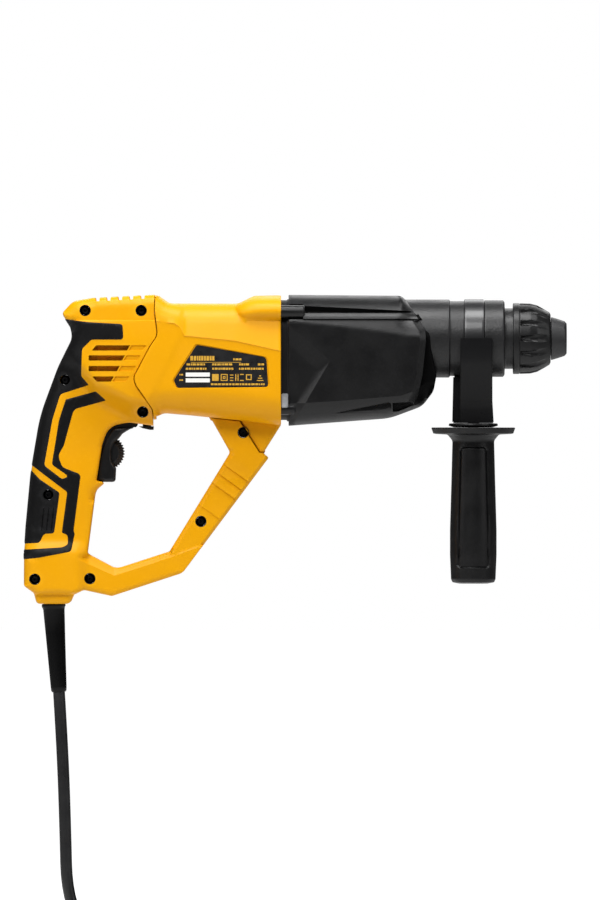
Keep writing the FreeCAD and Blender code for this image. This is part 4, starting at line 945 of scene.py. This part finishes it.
SHOULDER_Y, PANEL_Y, FOOT_Y = 39.0, 38.5, 12.6
LABEL_DEEP = 0.7
# the boss of the upper case screw: its rear end, its middle and the half width it swells from
BOSS_X, BOSS_Z, BOSS_Y = 127.0, 101.0, 31.3


def housing_width(x, z):
    """The motor housing: a leaning shoulder above the crest, a flat panel below, a screw boss."""
    crest = np.interp(x, [p[0] for p in CREST], [p[1] for p in CREST])
    above = side_of(x, z, CREST[-2], CREST[-1])
    above = np.where(x < 117.6, side_of(x, z, CREST[3], CREST[4]), above)
    above = np.where(x < 82.3, z - crest, above)
    lean = 0.20 * ramp(x, 70, 84) + 0.06
    wide = np.where(above > 0, SHOULDER_Y - lean * above, PANEL_Y)
    step = PANEL_Y + (SHOULDER_Y - PANEL_Y) * (1 + above / STEP_RUN / 2)
    wide = np.where((above <= 0) & (above > -STEP_RUN * 2), step, wide)
    left = side_of(x, z, (67.2, 51.0), (82.3, 81.8))
    wide += 0.45 * ramp(left, 0.0, 3.0) * (above <= 0)
    # the boss of the upper case screw swells out of the shoulder
    grow = np.sqrt(np.clip(1 - (np.clip(BOSS_X - x, 0, None) / 9.0) ** 2, 0, 1))
    radius = 8.6 * grow
    boss = BOSS_Y + np.sqrt(np.clip(radius ** 2 - (z - BOSS_Z) ** 2, 0, None))
    boss = np.where((np.abs(z - BOSS_Z) < radius) & (x > 118.0), boss, 0.0)
    return np.maximum(wide, boss)


def boss_lines():
    """Where the screw boss meets the shoulder, so that the meeting line stays crisp."""
    rim = []
    for i in range(13):
        turn = math.radians(180 + 90 * i / 12)
        rim.append((BOSS_X + 8.4 * math.cos(turn), BOSS_Z + 7.2 * math.sin(turn)))
    rim.append((150.5, 93.6))
    return [polyline(rim, 1.2)]


def housing():
    shell = Shell(HOUSING, housing_width, dents=[(grown(LABEL, 0.9), LABEL_DEEP)],
                  creases=[CREST, [(x, z - STEP_RUN * 2) for x, z in CREST]] + boss_lines(), seam=0.0)
    finish_piece("motor_shell", shell.mesh("motor_shell", [-1, 1]), "housing", "yellow_plastic",
                 ["motor_housing"], lines=shell.lines)
    foot = Shell(FOOT, lambda x, z: FOOT_Y + 0 * x, spacing=3.0)
    finish_piece("motor_foot", foot.mesh("motor_foot", [-1, 1]), "housing", "yellow_plastic",
                 ["motor_housing"])


def strut_tongue():
    """The tongue inside the joint between the housing's foot and the front strut."""
    loop = [(98.0, 27.0), (124.0, 25.0), (139.0, 1.6), (137.6, -1.2), (132.5, -1.2), (118.0, 20.0),
            (101.0, 22.4)]
    finish_piece("strut_tongue", plate_mesh("strut_tongue", [loop], -4.6, 4.6, 0.4), "housing",
                 "yellow_plastic")


def grown(points, gap):
    """A rounded loop's corners moved outwards from its middle by about the gap."""
    middle = Vector((sum(p[0] for p in points), sum(p[1] for p in points))) / len(points)
    out = []
    for x, z, radius in points:
        way = (Vector((x, z)) - middle).normalized() * gap * 1.3
        out.append((x + way.x, z + way.y, radius + gap))
    return out


housing()
strut_tongue()


# ------------------------------------------------------------------ rating label
def bars(rows):
    """Closed loops for printed bars given as (left, right, bottom, top)."""
    return [[(a, c), (b, c), (b, d), (a, d)] for a, b, c, d in rows]


def words(left, right, bottom, height, seed):
    """A row of printed blocks of uneven length that stands for a line of small print."""
    pick = random.Random(seed)
    rows = []
    x = left
    while x < right - 0.5:
        long = min(pick.uniform(0.7, 2.6), right - x)
        rows.append((x, x + long, bottom, bottom + height))
        x += long + pick.uniform(0.3, 0.6)
    return rows


def ring_of_bars(x, z, size, line):
    """A hollow square as four bars."""
    return [(x, x + size, z, z + line), (x, x + size, z + size - line, z + size),
            (x, x + line, z + line, z + size - line),
            (x + size - line, x + size, z + line, z + size - line)]


def label():
    """The dark film with amber and white print: blocks and frames in place of words and marks."""
    face = PANEL_Y - LABEL_DEEP + 0.35
    film = plate_mesh("label_film", [[tuple(p) for p in rounded(LABEL)[0]]], -face + 0.4, -face)
    finish_piece("label_film", film, "housing", "label_film", ["rating_label"])
    amber = []
    x = 86.6
    for wide in (2.2, 2.0, 1.2, 1.4, 1.8, 1.6, 2.0, 1.6, 1.8):
        amber.append((x, x + wide * 0.86, 64.4, 67.6))
        x += wide + 0.18
    amber.append((87.0, 122.0, 63.0, 63.3))
    amber += words(116.6, 122.2, 64.5, 1.4, 1)
    for k, (low, spans) in enumerate((
        (61.0, ((84.0, 96.8), (101.9, 116.6), (120.6, 128.3), (133.7, 138.0))),
        (58.0, ((83.4, 98.4), (101.9, 116.6), (120.6, 138.4))),
    )):
        for j, (left, right) in enumerate(spans):
            amber += words(left, right, low, 1.4, 10 * k + j + 2)
    amber += words(79.0, 82.4, 54.0, 1.1, 31) + words(79.0, 82.4, 50.2, 1.1, 32)
    amber += words(101.0, 138.4, 47.2, 1.3, 33)
    low = 50.2
    amber += [(101.8, 106.4, low, low + 4.8)]
    amber += ring_of_bars(107.8, low, 4.8, 0.6) + ring_of_bars(109.3, low + 1.5, 1.8, 0.5)
    amber += [(114.2, 116.6, low + k * 1.45, low + k * 1.45 + 0.6) for k in (0, 1.3, 2.6)]
    amber += [(118.0, 118.6, low, low + 4.8), (119.6, 120.2, low, low + 4.8),
              (121.2, 123.8, low, low + 0.6), (121.2, 123.8, low + 4.2, low + 4.8)]
    amber += ring_of_bars(125.4, low + 0.6, 4.0, 0.7)
    amber += [(133.0, 137.6, low, low + 0.6), (133.8, 136.8, low + 1.6, low + 2.2),
              (134.6, 136.0, low + 3.2, low + 3.8)]
    white = [(83.4, 100.2, 53.2, 56.0), (83.4, 100.2, 49.2, 52.0)]
    ink_deep = 0.05
    for name, rows, look in (("label_print_amber", amber, "amber_ink"),
                             ("label_print_white", white, "white_ink")):
        mesh = plate_mesh(name, bars(rows), -face, -face - ink_deep)
        finish_piece(name, mesh, "housing", "label_film", ["rating_label"], look)


label()


# ------------------------------------------------------------------ gear cover
UPPER_EDGE = [(149.8, 90.9), (164.5, 89.5), (191.1, 86.0), (222.6, 81.8), (238.0, 79.3), (252.0, 78.4)]
LOWER_EDGE = [(155.0, 34.4), (168.7, 34.9), (191.1, 36.3), (233.1, 39.8), (241.5, 42.6), (251.0, 49.0)]
FRONT_EDGE = [(236.6, 107.4), (241.0, 101.0), (245.9, 93.0), (250.6, 85.3), (250.9, 77.6), (248.6, 54.5),
              (245.4, 40.4), (239.5, 29.0)]
WEDGE_TOP = [(160.3, 85.3), (184.1, 64.3)]
WEDGE_LOW = [(184.1, 64.3), (159.6, 22.3)]
RAIL_Z = 94.0
RAIL_FOOT = 93.2
SIDE_Y = 37.8
UPPER_LEAN = 0.34
BEVEL_WIDE = 4.2
BEVEL_SLOPE = 0.6
COVER = [
    (155.1, 110.5, 0.5, 22, 0), (234.0, 109.9, 6, 18, 0), (243.9, 99.6, 20, 3, 0),
    (254.2, 84.8, 4, 2.5, 0), (254.8, 72.0, 20, 2.5, 0), (258.6, 55.0, 8, 2.5, 0),
    (256.4, 43.0, 12, 6, 0), (248.6, 32.6, 14, 11, 0), (226.0, 24.2, 40, 12, 0), (160.0, 19.3, 2, 8, 0),
    (155.1, 18.9, 0.5, 0.8, -3),
]


def cover_width(x, z):
    """The gear cover's flats: a leaning upper facet with a rail, a panel with a wedge, a keel."""
    upper = np.interp(x, [p[0] for p in UPPER_EDGE], [p[1] for p in UPPER_EDGE])
    lower = np.interp(x, [p[0] for p in LOWER_EDGE], [p[1] for p in LOWER_EDGE])
    facet = SIDE_Y - UPPER_LEAN * np.clip(z - upper, 0, None)
    keel = 37.0 - 0.55 * np.clip(lower - z, 0, None)
    wide = np.minimum(facet, keel) - 0.012 * np.clip(upper - z, 0, 50)
    # the wedge at the rear sinks below the panel
    into_top = -side_of(x, z, *WEDGE_TOP)
    into_low = -side_of(x, z, *WEDGE_LOW)
    sink = np.minimum(np.minimum(0.62 * into_low, 0.18 * into_top), 1.6 + 0.03 * into_top)
    sink = np.clip(sink, 0, None) + 0.02 * np.clip(67.6 - z, 0, 30) * ((into_top > 4) & (into_low > 5))
    wide -= sink
    # the rail and the channel above it
    seat = SIDE_Y - UPPER_LEAN * np.clip(93.3 - upper, 0, None)
    rail = seat - 0.9 + np.sqrt(np.clip(2.35 ** 2 - (0.62 * (z - RAIL_Z)) ** 2, 0, None))
    on_rail = ramp(z, RAIL_FOOT, RAIL_FOOT + STEP_RUN) * (z < 97.8)
    wide += on_rail * (np.maximum(rail, seat - 2.0) - wide)
    # the bevel along the front edge, and the rim outside it
    edge = polyline(FRONT_EDGE, 3.0)
    gap = distances(np.stack([x, z], axis=1), edge, False)
    nearest = gap.argmin(axis=1)
    start, end = edge[nearest], edge[nearest + 1]
    way = (end - start) / np.linalg.norm(end - start, axis=1, keepdims=True)
    outside = (z - start[:, 1]) * way[:, 0] - (x - start[:, 0]) * way[:, 1] > 0
    cut = np.where(outside, BEVEL_WIDE, np.clip(BEVEL_WIDE - gap.min(axis=1), 0, None))
    wide -= BEVEL_SLOPE * cut * (z < 93)
    return wide


def cover():
    """The gear cover with its channel, bays and scoop; the wall beyond its front edge takes a darker
    copy of the plastic, painted shade.
    """
    channel = [(165.6, 102.6, 0.3), (244.0, 98.9, 0.3), (246.0, 97.6, 0.3), (165.6, 97.6, 0.3)]
    lug_bay = [(150.0, 103.9, 0), (165.4, 103.9, 0.5), (165.4, 93.1, 0.5), (150.0, 93.1, 0)]
    scoop = [(184.8, 27.4, 0), (225.2, 35.4, 0.8), (226.6, 34.4, 0.8), (227.2, 29.0, 0.8),
             (226.0, 27.4, 0.8)]
    notch = [(227.6, 34.9, 0.4), (240.0, 35.6, 0.4), (243.5, 33.6, 0.4), (232.0, 28.9, 0.4),
             (227.9, 28.6, 0.4)]
    front = polyline(FRONT_EDGE, 1.5)
    step = [(x, z, 0.4) for x, z in FRONT_EDGE] + [(236.0, 10.0, 0), (275.0, 10.0, 0), (275.0, 118.0, 0),
                                                   (236.6, 118.0, 0)]
    rail = [[(165.6, z), (247.0, z)] for z in (RAIL_FOOT, RAIL_FOOT + STEP_RUN)]
    creases = [UPPER_EDGE, LOWER_EDGE, beside(front, -BEVEL_WIDE), *rail, [(155.2, 67.6), (182.0, 67.6)],
               WEDGE_TOP, WEDGE_LOW]
    shell = Shell(COVER, cover_width, dents=[(step, 6.0)],
                  flats=[(scoop, 30.0), (channel, 23.0), (lug_bay, 25.0), (notch, 22.0)],
                  creases=creases, spacing=2.0, seam=0.0)
    case = finish_piece("gear_case", shell.mesh("gear_case", [-1, 1]), "housing", "black_plastic",
                        ["gear_cover"], sharp=30.0, lines=shell.lines)
    # the faces of the wall beyond the front edge take the darker copy of the plastic, painted shade
    case.data.materials.append(LOOK["painted_shade_plastic"])
    rim = rounded(step)[0]
    middles = np.array([(f.center.x / MM, f.center.z / MM) for f in case.data.polygons])
    for poly, in_painted_shade in zip(case.data.polygons, inside(middles, rim)):
        if in_painted_shade and abs(poly.center.y) > 18 * MM:
            poly.material_index = 1


cover()


# ------------------------------------------------------------------ gap behind the gear cover
def ring_plate(name, low_z, high_z, half, radius, x0, x1, bevel):
    """A rounded-square plate across the X axis."""
    loop, _ = rounded([(-half, low_z, radius), (half, low_z, radius), (half, high_z, radius),
                       (-half, high_z, radius)], 3.0)
    bm = bmesh.new()
    extrude(bm, [(x0, y, z) for y, z in loop], (x1 - x0, 0, 0))
    rims = [e for e in bm.edges if abs(e.verts[0].co.x - e.verts[1].co.x) < 1e-9]
    bmesh.ops.bevel(bm, geom=rims, offset=bevel * MM, segments=2, affect="EDGES")
    bmesh.ops.recalc_face_normals(bm, faces=bm.faces)
    finish_piece(name, make_mesh(name, bm), "housing", "dark_plastic", ["intermediate_flange"])


def housing_gap():
    """The flange between the two housings, with its lugs and keys, seen in the gap."""
    ring_plate("gap_plate", 23.0, 106.8, 31.0, 20, 146.0, 158.0, 0.5)
    ring_plate("gap_plate_front", 22.0, 107.4, 33.0, 21, 153.8, 156.5, 0.4)
    for i, side in enumerate((-1, 1)):
        for j, (z, out, tip) in enumerate(((98.5, 33.5, 166.4), (31.0, 28.0, 160.0))):
            lug = [(146.0, 0.0, 0), (tip, 0.0, 0), (tip, 1.6, 0), (tip - 0.8, 1.8, 0.1),
                   (tip - 0.8, 2.6, 0.2), (tip, 2.9, 0.2), (tip, 4.0, 0.8), (tip - 1.2, 4.5, 0.6),
                   (146.0, 4.5, 0)]
            lathe("case_lug_%d%d" % (i, j), lug, (0, side * out, z), "x", "housing", "black_plastic",
                  ["intermediate_flange", "gear_case_screws"], 48)
        key = [(150.2, 31.4), (154.8, 31.4), (154.8, 41.4), (150.2, 41.4)]
        block = plate_mesh("gap_key_%d" % i, [key], side * 30.0, side * 36.8, 0.5)
        finish_piece("gap_key_%d" % i, block, "housing", "cast_aluminium", ["intermediate_flange"])


housing_gap()


# ------------------------------------------------------------------ barrel and chuck
AXIS = (0, 0, SPINDLE_Z)
FLUTES = 14
FLUTE_START = 317.2
FLUTE_LONG = 19.3


def flute(along, angle, radius):
    """Round channels along the sleeve, deep at the rear and running out to the front."""
    bore = along < 321.0 and radius < 22.5
    run = along - FLUTE_START
    if bore or radius < 17.6 or not 0 < run < FLUTE_LONG:
        return radius
    phase = (angle * FLUTES / (2 * math.pi)) % 1.0
    off = abs(phase - round(phase)) * 2
    start = min(1.0, run / 0.5)
    fade = max(0.0, 1 - (run / FLUTE_LONG) ** 1.6)
    half = 0.34 + 0.22 * run / FLUTE_LONG
    dip = max(0.0, 1 - (off / half) ** 2) ** 0.7
    return radius - 2.4 * start * fade * dip


def barrel_and_chuck():
    """Turned parts round the spindle's axis, as (along, radius, corner radius)."""
    lathe("barrel", [
        (230.0, 18, 0), (314.0, 18, 0), (314.0, 21.2, 0.4), (306.4, 21.2, 0.3), (306.2, 25.4, 0.4),
        (305.2, 26.8, 0.5), (292.2, 26.8, 0.3), (291.9, 25.2, 0), (278.0, 25.2, 0), (277.9, 26.2, 0.25),
        (268.1, 26.2, 0.2), (267.8, 26.6, 0.1), (267.4, 27.3, 0.4), (230.0, 27.3, 0),
    ], AXIS, "x", "housing", "black_plastic", ["front_barrel"], 128, look="painted_casting")
    lathe("band", [
        (278.1, 25.3, 0), (291.7, 25.3, 0), (291.7, 27.5, 0.5), (278.1, 27.5, 0.5),
    ], AXIS, "x", "side_handle", "gloss_black", ["clamp_band"], 128)
    lathe("sleeve", [
        (312.0, 21.6, 0.2), (320.0, 21.6, 0), (320.2, 18.0, 0), (338.4, 12.0, 0.2), (338.4, 16.9, 0.3),
        (337.6, 18.4, 1.2), (333.2, 21.0, 4), (329.0, 23.3, 6), (324.1, 24.5, 6), (317.0, 24.7, 0.2),
        (316.6, 24.3, 0.2), (316.2, 24.8, 0.2), (312.2, 24.8, 0.5),
    ], AXIS, "x", "locking_sleeve", "grip_plastic", ["locking_sleeve"], 384, 0.5, flute, 50.0)
    lathe("nose_cap", [
        (337.2, 9.7, 0), (345.1, 9.7, 0.3), (345.6, 5.9, 0.2), (349.2, 5.9, 0.4), (349.7, 7.0, 0.3),
        (349.7, 10.6, 0.8), (348.2, 12.2, 0.8), (343.0, 13.9, 2.0), (339.3, 15.0, 0.5),
        (338.8, 14.8, 0.2), (338.8, 11.7, 0), (337.2, 11.7, 0),
    ], AXIS, "x", "spindle", "seal_rubber", ["dust_cap"], 96)


barrel_and_chuck()


# ------------------------------------------------------------------ side handle
SIDE_X = 284.4
YOKE_REAR = 275.0
YOKE_LONG = 22.4
YOKE_BORE = 27.7


def grip_shape(along, angle, radius):
    """Flat panels front and back of the side grip, each with a groove round it."""
    if radius < 10 or not -81.5 < along < 4.5:
        return radius
    u = radius * math.cos(angle)
    half = 9.9 + 1.7 * (4.0 - along) / 84.0
    corner = 3.0
    over_u = abs(u) - (half - corner)
    over_z = abs(along + 38.3) - (42.4 - corner)
    gap = corner - math.hypot(max(over_u, 0), max(over_z, 0))
    if over_u < 0 and over_z < 0:
        gap = min(-over_u, -over_z) + corner
    if gap <= 0:
        return radius
    trench = 1.1 * max(0.0, 1 - abs(gap - 0.45) / 0.55)
    flat = 0.7 * min(1.0, gap / 0.5)
    return radius - flat - trench


def yoke():
    """The saddle under the clamp band, drawn in to a neck above the washer."""
    inner = [(YOKE_BORE * math.sin(a), SPINDLE_Z - YOKE_BORE * math.cos(a))
             for a in (math.pi / 2 * (1 - i / 12) for i in range(25))]
    half = [(31.3, SPINDLE_Z), (31.3, 66.0), (29.0, 58.0), (15.0, 36.0), (13.6, 30.0), (13.4, 20.9)]
    outer = [(-y, z) for y, z in half] + half[::-1]
    bm = bmesh.new()
    extrude(bm, [(YOKE_REAR, y, z) for y, z in outer + inner], (YOKE_LONG, 0, 0))

    def in_bore(vert):
        return abs(math.hypot(vert.co.y / MM, vert.co.z / MM - SPINDLE_Z) - YOKE_BORE) < 0.01

    rims = [e for e in bm.edges if abs(e.verts[0].co.x - e.verts[1].co.x) < 1e-6
            and not all(in_bore(v) for v in e.verts)]
    bmesh.ops.bevel(bm, geom=rims, offset=0.5 * MM, segments=3, affect="EDGES", clamp_overlap=True)
    # the neck widens downwards, mostly to the front
    for vert in bm.verts:
        widen = 0.06 * max(0.0, 40.0 - vert.co.z / MM) * MM
        vert.co.x += widen if vert.co.x > 286.1 * MM else -widen * 0.3
    bmesh.ops.recalc_face_normals(bm, faces=bm.faces)
    # the saddle and the rod guide take the darker copy of the grip plastic, painted shade
    finish_piece("yoke", make_mesh("yoke", bm), "side_handle", "grip_plastic", ["side_handle_yoke"],
                 "grip_plastic_painted_shade")
    guide = plate_mesh("rod_guide", [[(269.7, 20.9), (276.5, 20.9), (276.5, 53.8), (270.4, 53.8)]],
                       -5.5, 5.5, 0.8)
    finish_piece("rod_guide", guide, "side_handle", "grip_plastic", ["side_handle_yoke"],
                 "grip_plastic_painted_shade")


def side_handle():
    base = (SIDE_X, 0, 0)
    lathe("side_washer", [
        (17.9, 4.1, 0), (20.8, 4.1, 0), (20.8, 12.6, 0.4), (20.6, 16.9, 0.4), (19.0, 17.3, 0.4),
        (17.9, 13.6, 0.4),
    ], base, "z", "side_handle", "black_plastic", ["side_handle_disc"], 96)
    lathe("side_grip_body", [
        (17.8, 4.1, 0), (17.8, 28.6, 0.3), (17.4, 29.4, 0.3), (13.6, 28.0, 0.4), (13.2, 26.0, 0.6),
        (12.8, 18.0, 2.5), (8.6, 14.6, 4), (-19.0, 15.3, 40), (-54.0, 16.3, 60), (-71.5, 16.3, 30),
        (-88.4, 15.6, 3), (-90.6, 14.6, 0.8), (-91.5, 10.0, 1), (-91.5, 0.0, 0), (10.0, 0.0, 0),
    ], base, "z", "side_grip", "grip_plastic", ["side_handle_grip"], 160, 0.5, grip_shape, 45.0)
    yoke()


side_handle()


# ------------------------------------------------------------------ controls
TRIGGER = [
    (48.4, 17.8, 1), (44.0, 16.6, 6), (38.8, 13.4, 4), (36.2, 10.0, 2), (32.6, 7.0, 3), (31.0, 2.0, 8),
    (31.4, -6.0, 6), (34.4, -10.6, 2), (33.9, -20.4, 2), (20.2, -20.4, 1), (22.2, -4.0, 20),
    (26.2, 9.0, 10), (32.5, 18.2, 4),
]
WHEEL = (28.2, 0.2)
WHEEL_TEETH = 36
WHEEL_ROOT = 8.3
TRIGGER_Y = 9.2
KNOB_Y = 38.4
KNOB_SCALLOPS = 18


def controls():
    """Trigger with its wheel and boot, reversing lever, and the mode knob on the left side."""
    outline = [(x, z, r, 2.4, 4.8 if x > 30.5 and -9 < z < 9 else 0) for x, z, r in TRIGGER]
    shell = Shell(outline, lambda x, z: TRIGGER_Y + 0 * x, spacing=1.4)
    finish_piece("trigger_body", shell.mesh("trigger_body", [-1, 1]), "trigger", "grip_plastic",
                 ["trigger"])

    def teeth(along, angle, radius):
        if radius < WHEEL_ROOT:
            return radius
        tooth = 0.5 + 0.5 * math.cos(angle * WHEEL_TEETH)
        return radius - tooth * min(1.0, (radius - WHEEL_ROOT) / 1.5)

    lathe("dial_wheel", [
        (-4.7, 1.6, 0), (4.7, 1.6, 0), (4.7, 8.0, 0.3), (2.2, 12.3, 0.4), (-2.2, 12.3, 0.4),
        (-4.7, 8.0, 0.3),
    ], (WHEEL[0], 0, WHEEL[1]), "y", "speed_dial", "grip_plastic", ["speed_dial"], 288, 0.8, teeth, 50.0)
    boot = plate_mesh("trigger_boot", [[
        (22.0, 4.0), (27.4, 4.0), (31.2, 13.0), (34.0, 17.0), (38.0, 17.6), (48.9, 18.0), (49.3, 19.6),
        (52.0, 24.0), (40.0, 26.0), (28.0, 22.0)]], -8.4, 8.4, 0.5)
    finish_piece("trigger_boot", boot, "housing", "dark_plastic")
    soften("reversing_lever", 0.4)
    soften("mode_button", 0.6)

    face = KNOB_Y
    knob_at = (202.0, 0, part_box("mode_button")[0][2] / MM + 3.5)

    def scallops(along, angle, radius):
        if radius < 14.0:
            return radius
        return radius - 0.8 * max(0.0, math.cos(angle * KNOB_SCALLOPS)) ** 0.5

    lathe("knob_dial", [
        (face, 3.7, 0), (face + 7.4, 3.7, 0.4), (face + 7.4, 13.4, 0.8), (face + 6.0, 16.0, 0.8),
        (face, 17.0, 0.4),
    ], knob_at, "y", "mode_knob", "grip_plastic", ["mode_knob"], 216, 0.8, scallops, 50.0)
    bar = plate_mesh("knob_pointer", [[
        (knob_at[0] - 2.6, knob_at[2] + 5.0), (knob_at[0] + 2.6, knob_at[2] + 5.0),
        (knob_at[0] + 1.2, knob_at[2] + 12.6), (knob_at[0] - 1.2, knob_at[2] + 12.6)]],
        face + 7.2, face + 8.6, 0.5)
    finish_piece("knob_pointer", bar, "mode_knob", "yellow_plastic", ["mode_knob"])


controls()


# ------------------------------------------------------------------ plug, relief and tie
def loft(name, sections, body, slot, replaced, look=None, sharp=40.0):
    """Skin rings of equal length, given in millimetres, and close both ends."""
    bm = bmesh.new()
    rings = [[bm.verts.new([c * MM for c in p]) for p in ring] for ring in sections]
    skin(bm, rings)
    bm.faces.new(rings[0])
    bm.faces.new(rings[-1])
    bmesh.ops.recalc_face_normals(bm, faces=bm.faces)
    return finish_piece(name, make_mesh(name, bm), body, slot, replaced, look, sharp)


def oval(x, half_y, half_z, power, centre_z, count=48):
    """A superellipse ring across the X axis."""
    ring = []
    for i in range(count):
        angle = 2 * math.pi * i / count
        c, s = math.cos(angle), math.sin(angle)
        ring.append((x, math.copysign(abs(c) ** (2 / power), c) * half_y,
                     centre_z + math.copysign(abs(s) ** (2 / power), s) * half_z))
    return ring


def plug():
    """A ribbed bend sleeve that grows into the body of the plug."""
    level = FLOOR_Z + 3 * CORD_R
    sections = []
    for k in range(43):
        x = 140.0 + 28.0 * k / 42
        r = 5.1 + 2.4 * (k / 42) ** 1.2
        if k < 36:
            r -= 0.7 * (math.sin(math.pi * k / 3) > 0.2)
        sections.append(oval(x, r, r, 2.0, level))
    for x, y, z, power in ((169.5, 8.6, 8.0, 2.0), (172.0, 12.0, 9.6, 2.2), (176.0, 15.6, 11.2, 2.4),
                           (182.0, 16.4, 11.4, 2.6), (188.0, 16.0, 10.6, 2.6), (193.0, 16.8, 11.6, 2.6),
                           (197.0, 17.2, 12.2, 2.6), (199.0, 17.2, 12.2, 2.6), (200.0, 16.4, 11.4, 2.6)):
        sections.append(oval(x, y, z, power, level))
    return loft("plug_shell", sections, "housing", "cord_rubber", ["plug_body"])


def plug_pins():
    pins = []
    for i, y in enumerate((-9.5, 9.5)):
        pins.append(lathe("plug_pin_%d" % i, [
            (198.0, 0.0, 0), (219.0, 0.0, 0), (219.0, 1.4, 0.6), (217.8, 2.4, 0.8), (210.0, 2.4, 0.05),
            (209.8, 2.2, 0.05), (198.0, 2.2, 0),
        ], (0, y, FLOOR_Z + 3 * CORD_R), "x", "housing", "nickel_brass", ["plug_pins"], 32))
    return pins


def strain_relief():
    """The bend relief, turned about the line from the handle to where the cord leaves it."""
    top = Vector((-9.4, 0, -105.7))
    way = (Vector(CORD_ROUTE[0]) - top).normalized()
    across = way.cross(Vector((0, 1, 0))).normalized()
    sections = []
    # distance along that line and radius
    steps = ((-6.0, 6.2), (-0.4, 6.4), (-0.2, 8.2), (1.6, 8.4), (2.4, 7.9), (4.0, 7.5), (20.0, 6.9),
             (40.0, 6.2), (58.0, 5.6), (60.6, 5.4), (61.6, 4.9), (61.9, 4.2))
    for along, radius in steps:
        middle = top + way * along
        ring = []
        for i in range(48):
            angle = 2 * math.pi * i / 48
            p = middle + (across * math.cos(angle) + Vector((0, 1, 0)) * math.sin(angle)) * radius
            ring.append(tuple(p))
        sections.append(ring)
    return loft("relief", sections, "housing", "cord_rubber", ["strain_relief"], "relief_rubber")


def tie():
    """A hook-and-loop strap round the turns of the coil, at its far side."""
    inner = COIL_RADII[-1] - CORD_R
    outer = COIL_RADII[0] + CORD_R
    middle_r = (inner + outer) / 2
    half_r = (outer - inner) / 2 + 0.2
    centre_z = FLOOR_Z + 2 * CORD_R
    bm = bmesh.new()
    rows = []
    for along, thick in ((-9.0, 0.9), (-8.6, 1.4), (8.6, 1.4), (9.0, 0.9)):
        ring = []
        for i in range(64):
            angle = 2 * math.pi * i / 64
            c, s = math.cos(angle), math.sin(angle)
            u = math.copysign(abs(c) ** 0.35, c) * (half_r + thick - 0.4)
            v = math.copysign(abs(s) ** 0.35, s) * (2 * CORD_R + min(thick, 0.9))
            place = (COIL_CENTRE[0] + along, COIL_CENTRE[1] + middle_r + u,
                     centre_z + max(v, -2 * CORD_R))
            ring.append(bm.verts.new([c * MM for c in place]))
        rows.append(ring)
    skin(bm, rows)
    bmesh.ops.solidify(bm, geom=bm.faces, thickness=0.6 * MM)
    bmesh.ops.recalc_face_normals(bm, faces=bm.faces)
    return finish_piece("coil_tie", make_mesh("coil_tie", bm), "housing", "soft_rubber", ["cord_coil"])


# ------------------------------------------------------------------ cord
CORD_ROUTE = [
    (-5.6, 0, -167.4), (-3.0, 0, -209.6), (-1.2, 0.3, -262.0), (0.0, 0, -313.0),
    (17.5, 0, -343.3), (47.8, 0, -360.75), (82.4, 0.0, -360.75),
]
COIL_CENTRE = (105.0, 60.5)
COIL_RADII = (60.5, 52.0, 43.5, 35.0)
TURN_POINTS = 24


def coil_points():
    """Turns side by side, wound inwards on the floor and outwards on top of that."""
    points = []
    turns = [(r, 0) for r in COIL_RADII] + [(r, 1) for r in reversed(COIL_RADII)]
    for k, (radius, layer) in enumerate(turns):
        after, layer_after = turns[k + 1] if k + 1 < len(turns) else (radius, layer)
        for i in range(TURN_POINTS):
            t = max(0.0, (i - TURN_POINTS + 5) / 5)
            r = radius + (after - radius) * t
            level = layer + (layer_after - layer) * t
            angle = -math.pi / 2 + 2 * math.pi * i / TURN_POINTS
            points.append((COIL_CENTRE[0] + r * math.cos(angle), COIL_CENTRE[1] + r * math.sin(angle),
                           FLOOR_Z + CORD_R * (1 + 2 * level)))
    return points


def power_cord(with_pieces):
    points = CORD_ROUTE + coil_points()
    top = FLOOR_Z + 3 * CORD_R
    points += [(COIL_CENTRE[0], 0.0, top), (122.0, 0.0, top), (141.0, 0.0, top)]
    data = bpy.data.curves.new("cord", "CURVE")
    data.dimensions = "3D"
    line = data.splines.new("NURBS")
    line.points.add(len(points) - 1)
    for point, place in zip(line.points, points):
        point.co = (place[0] * MM, place[1] * MM, place[2] * MM, 1.0)
    line.order_u = 3
    line.use_endpoint_u = True
    line.resolution_u = 6
    data.bevel_depth = CORD_R * MM
    data.bevel_resolution = 5
    data.use_fill_caps = True
    data.materials.append(LOOK["cord_rubber"])
    cord = bpy.data.objects.new("cord", data)
    bpy.context.collection.objects.link(cord)
    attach(cord, "housing")
    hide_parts("power_cord", "cord_coil")


def chuck_spring():
    """The helical spring behind the lock ring, drawn at one length; the sleeve presses the real one
    shorter when pulled.
    """
    wire, coil, turns, count = 0.8, 13.4, 5.0, 200
    first, last = 300.7, 314.1
    sections = []
    for i in range(count + 1):
        turned = turns * i / count
        x = first + (last - first) * min(1.0, max(0.0, (turned - 0.75) / (turns - 1.5)))
        angle = 2 * math.pi * turned
        ring = []
        for k in range(10):
            around = 2 * math.pi * k / 10
            radius = coil + wire * math.cos(around)
            ring.append((x + wire * math.sin(around), radius * math.cos(angle),
                         SPINDLE_Z + radius * math.sin(angle)))
        sections.append(ring)
    spring = loft("chuck_spring", sections, "spindle", "steel", ["lock_spring"])
    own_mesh(spring)


chuck_spring()
strain_relief()
power_cord([plug(), *plug_pins(), tie()])


# ------------------------------------------------------------------ the CAD's own pieces
slot_of = {s["node"]: s["material_slot"] for s in frame["record"]["subparts"]}
for node, obj in frame["nodes"].items():
    obj.data.materials.clear()
    obj.data.materials.append(LOOK[slot_of[node]])
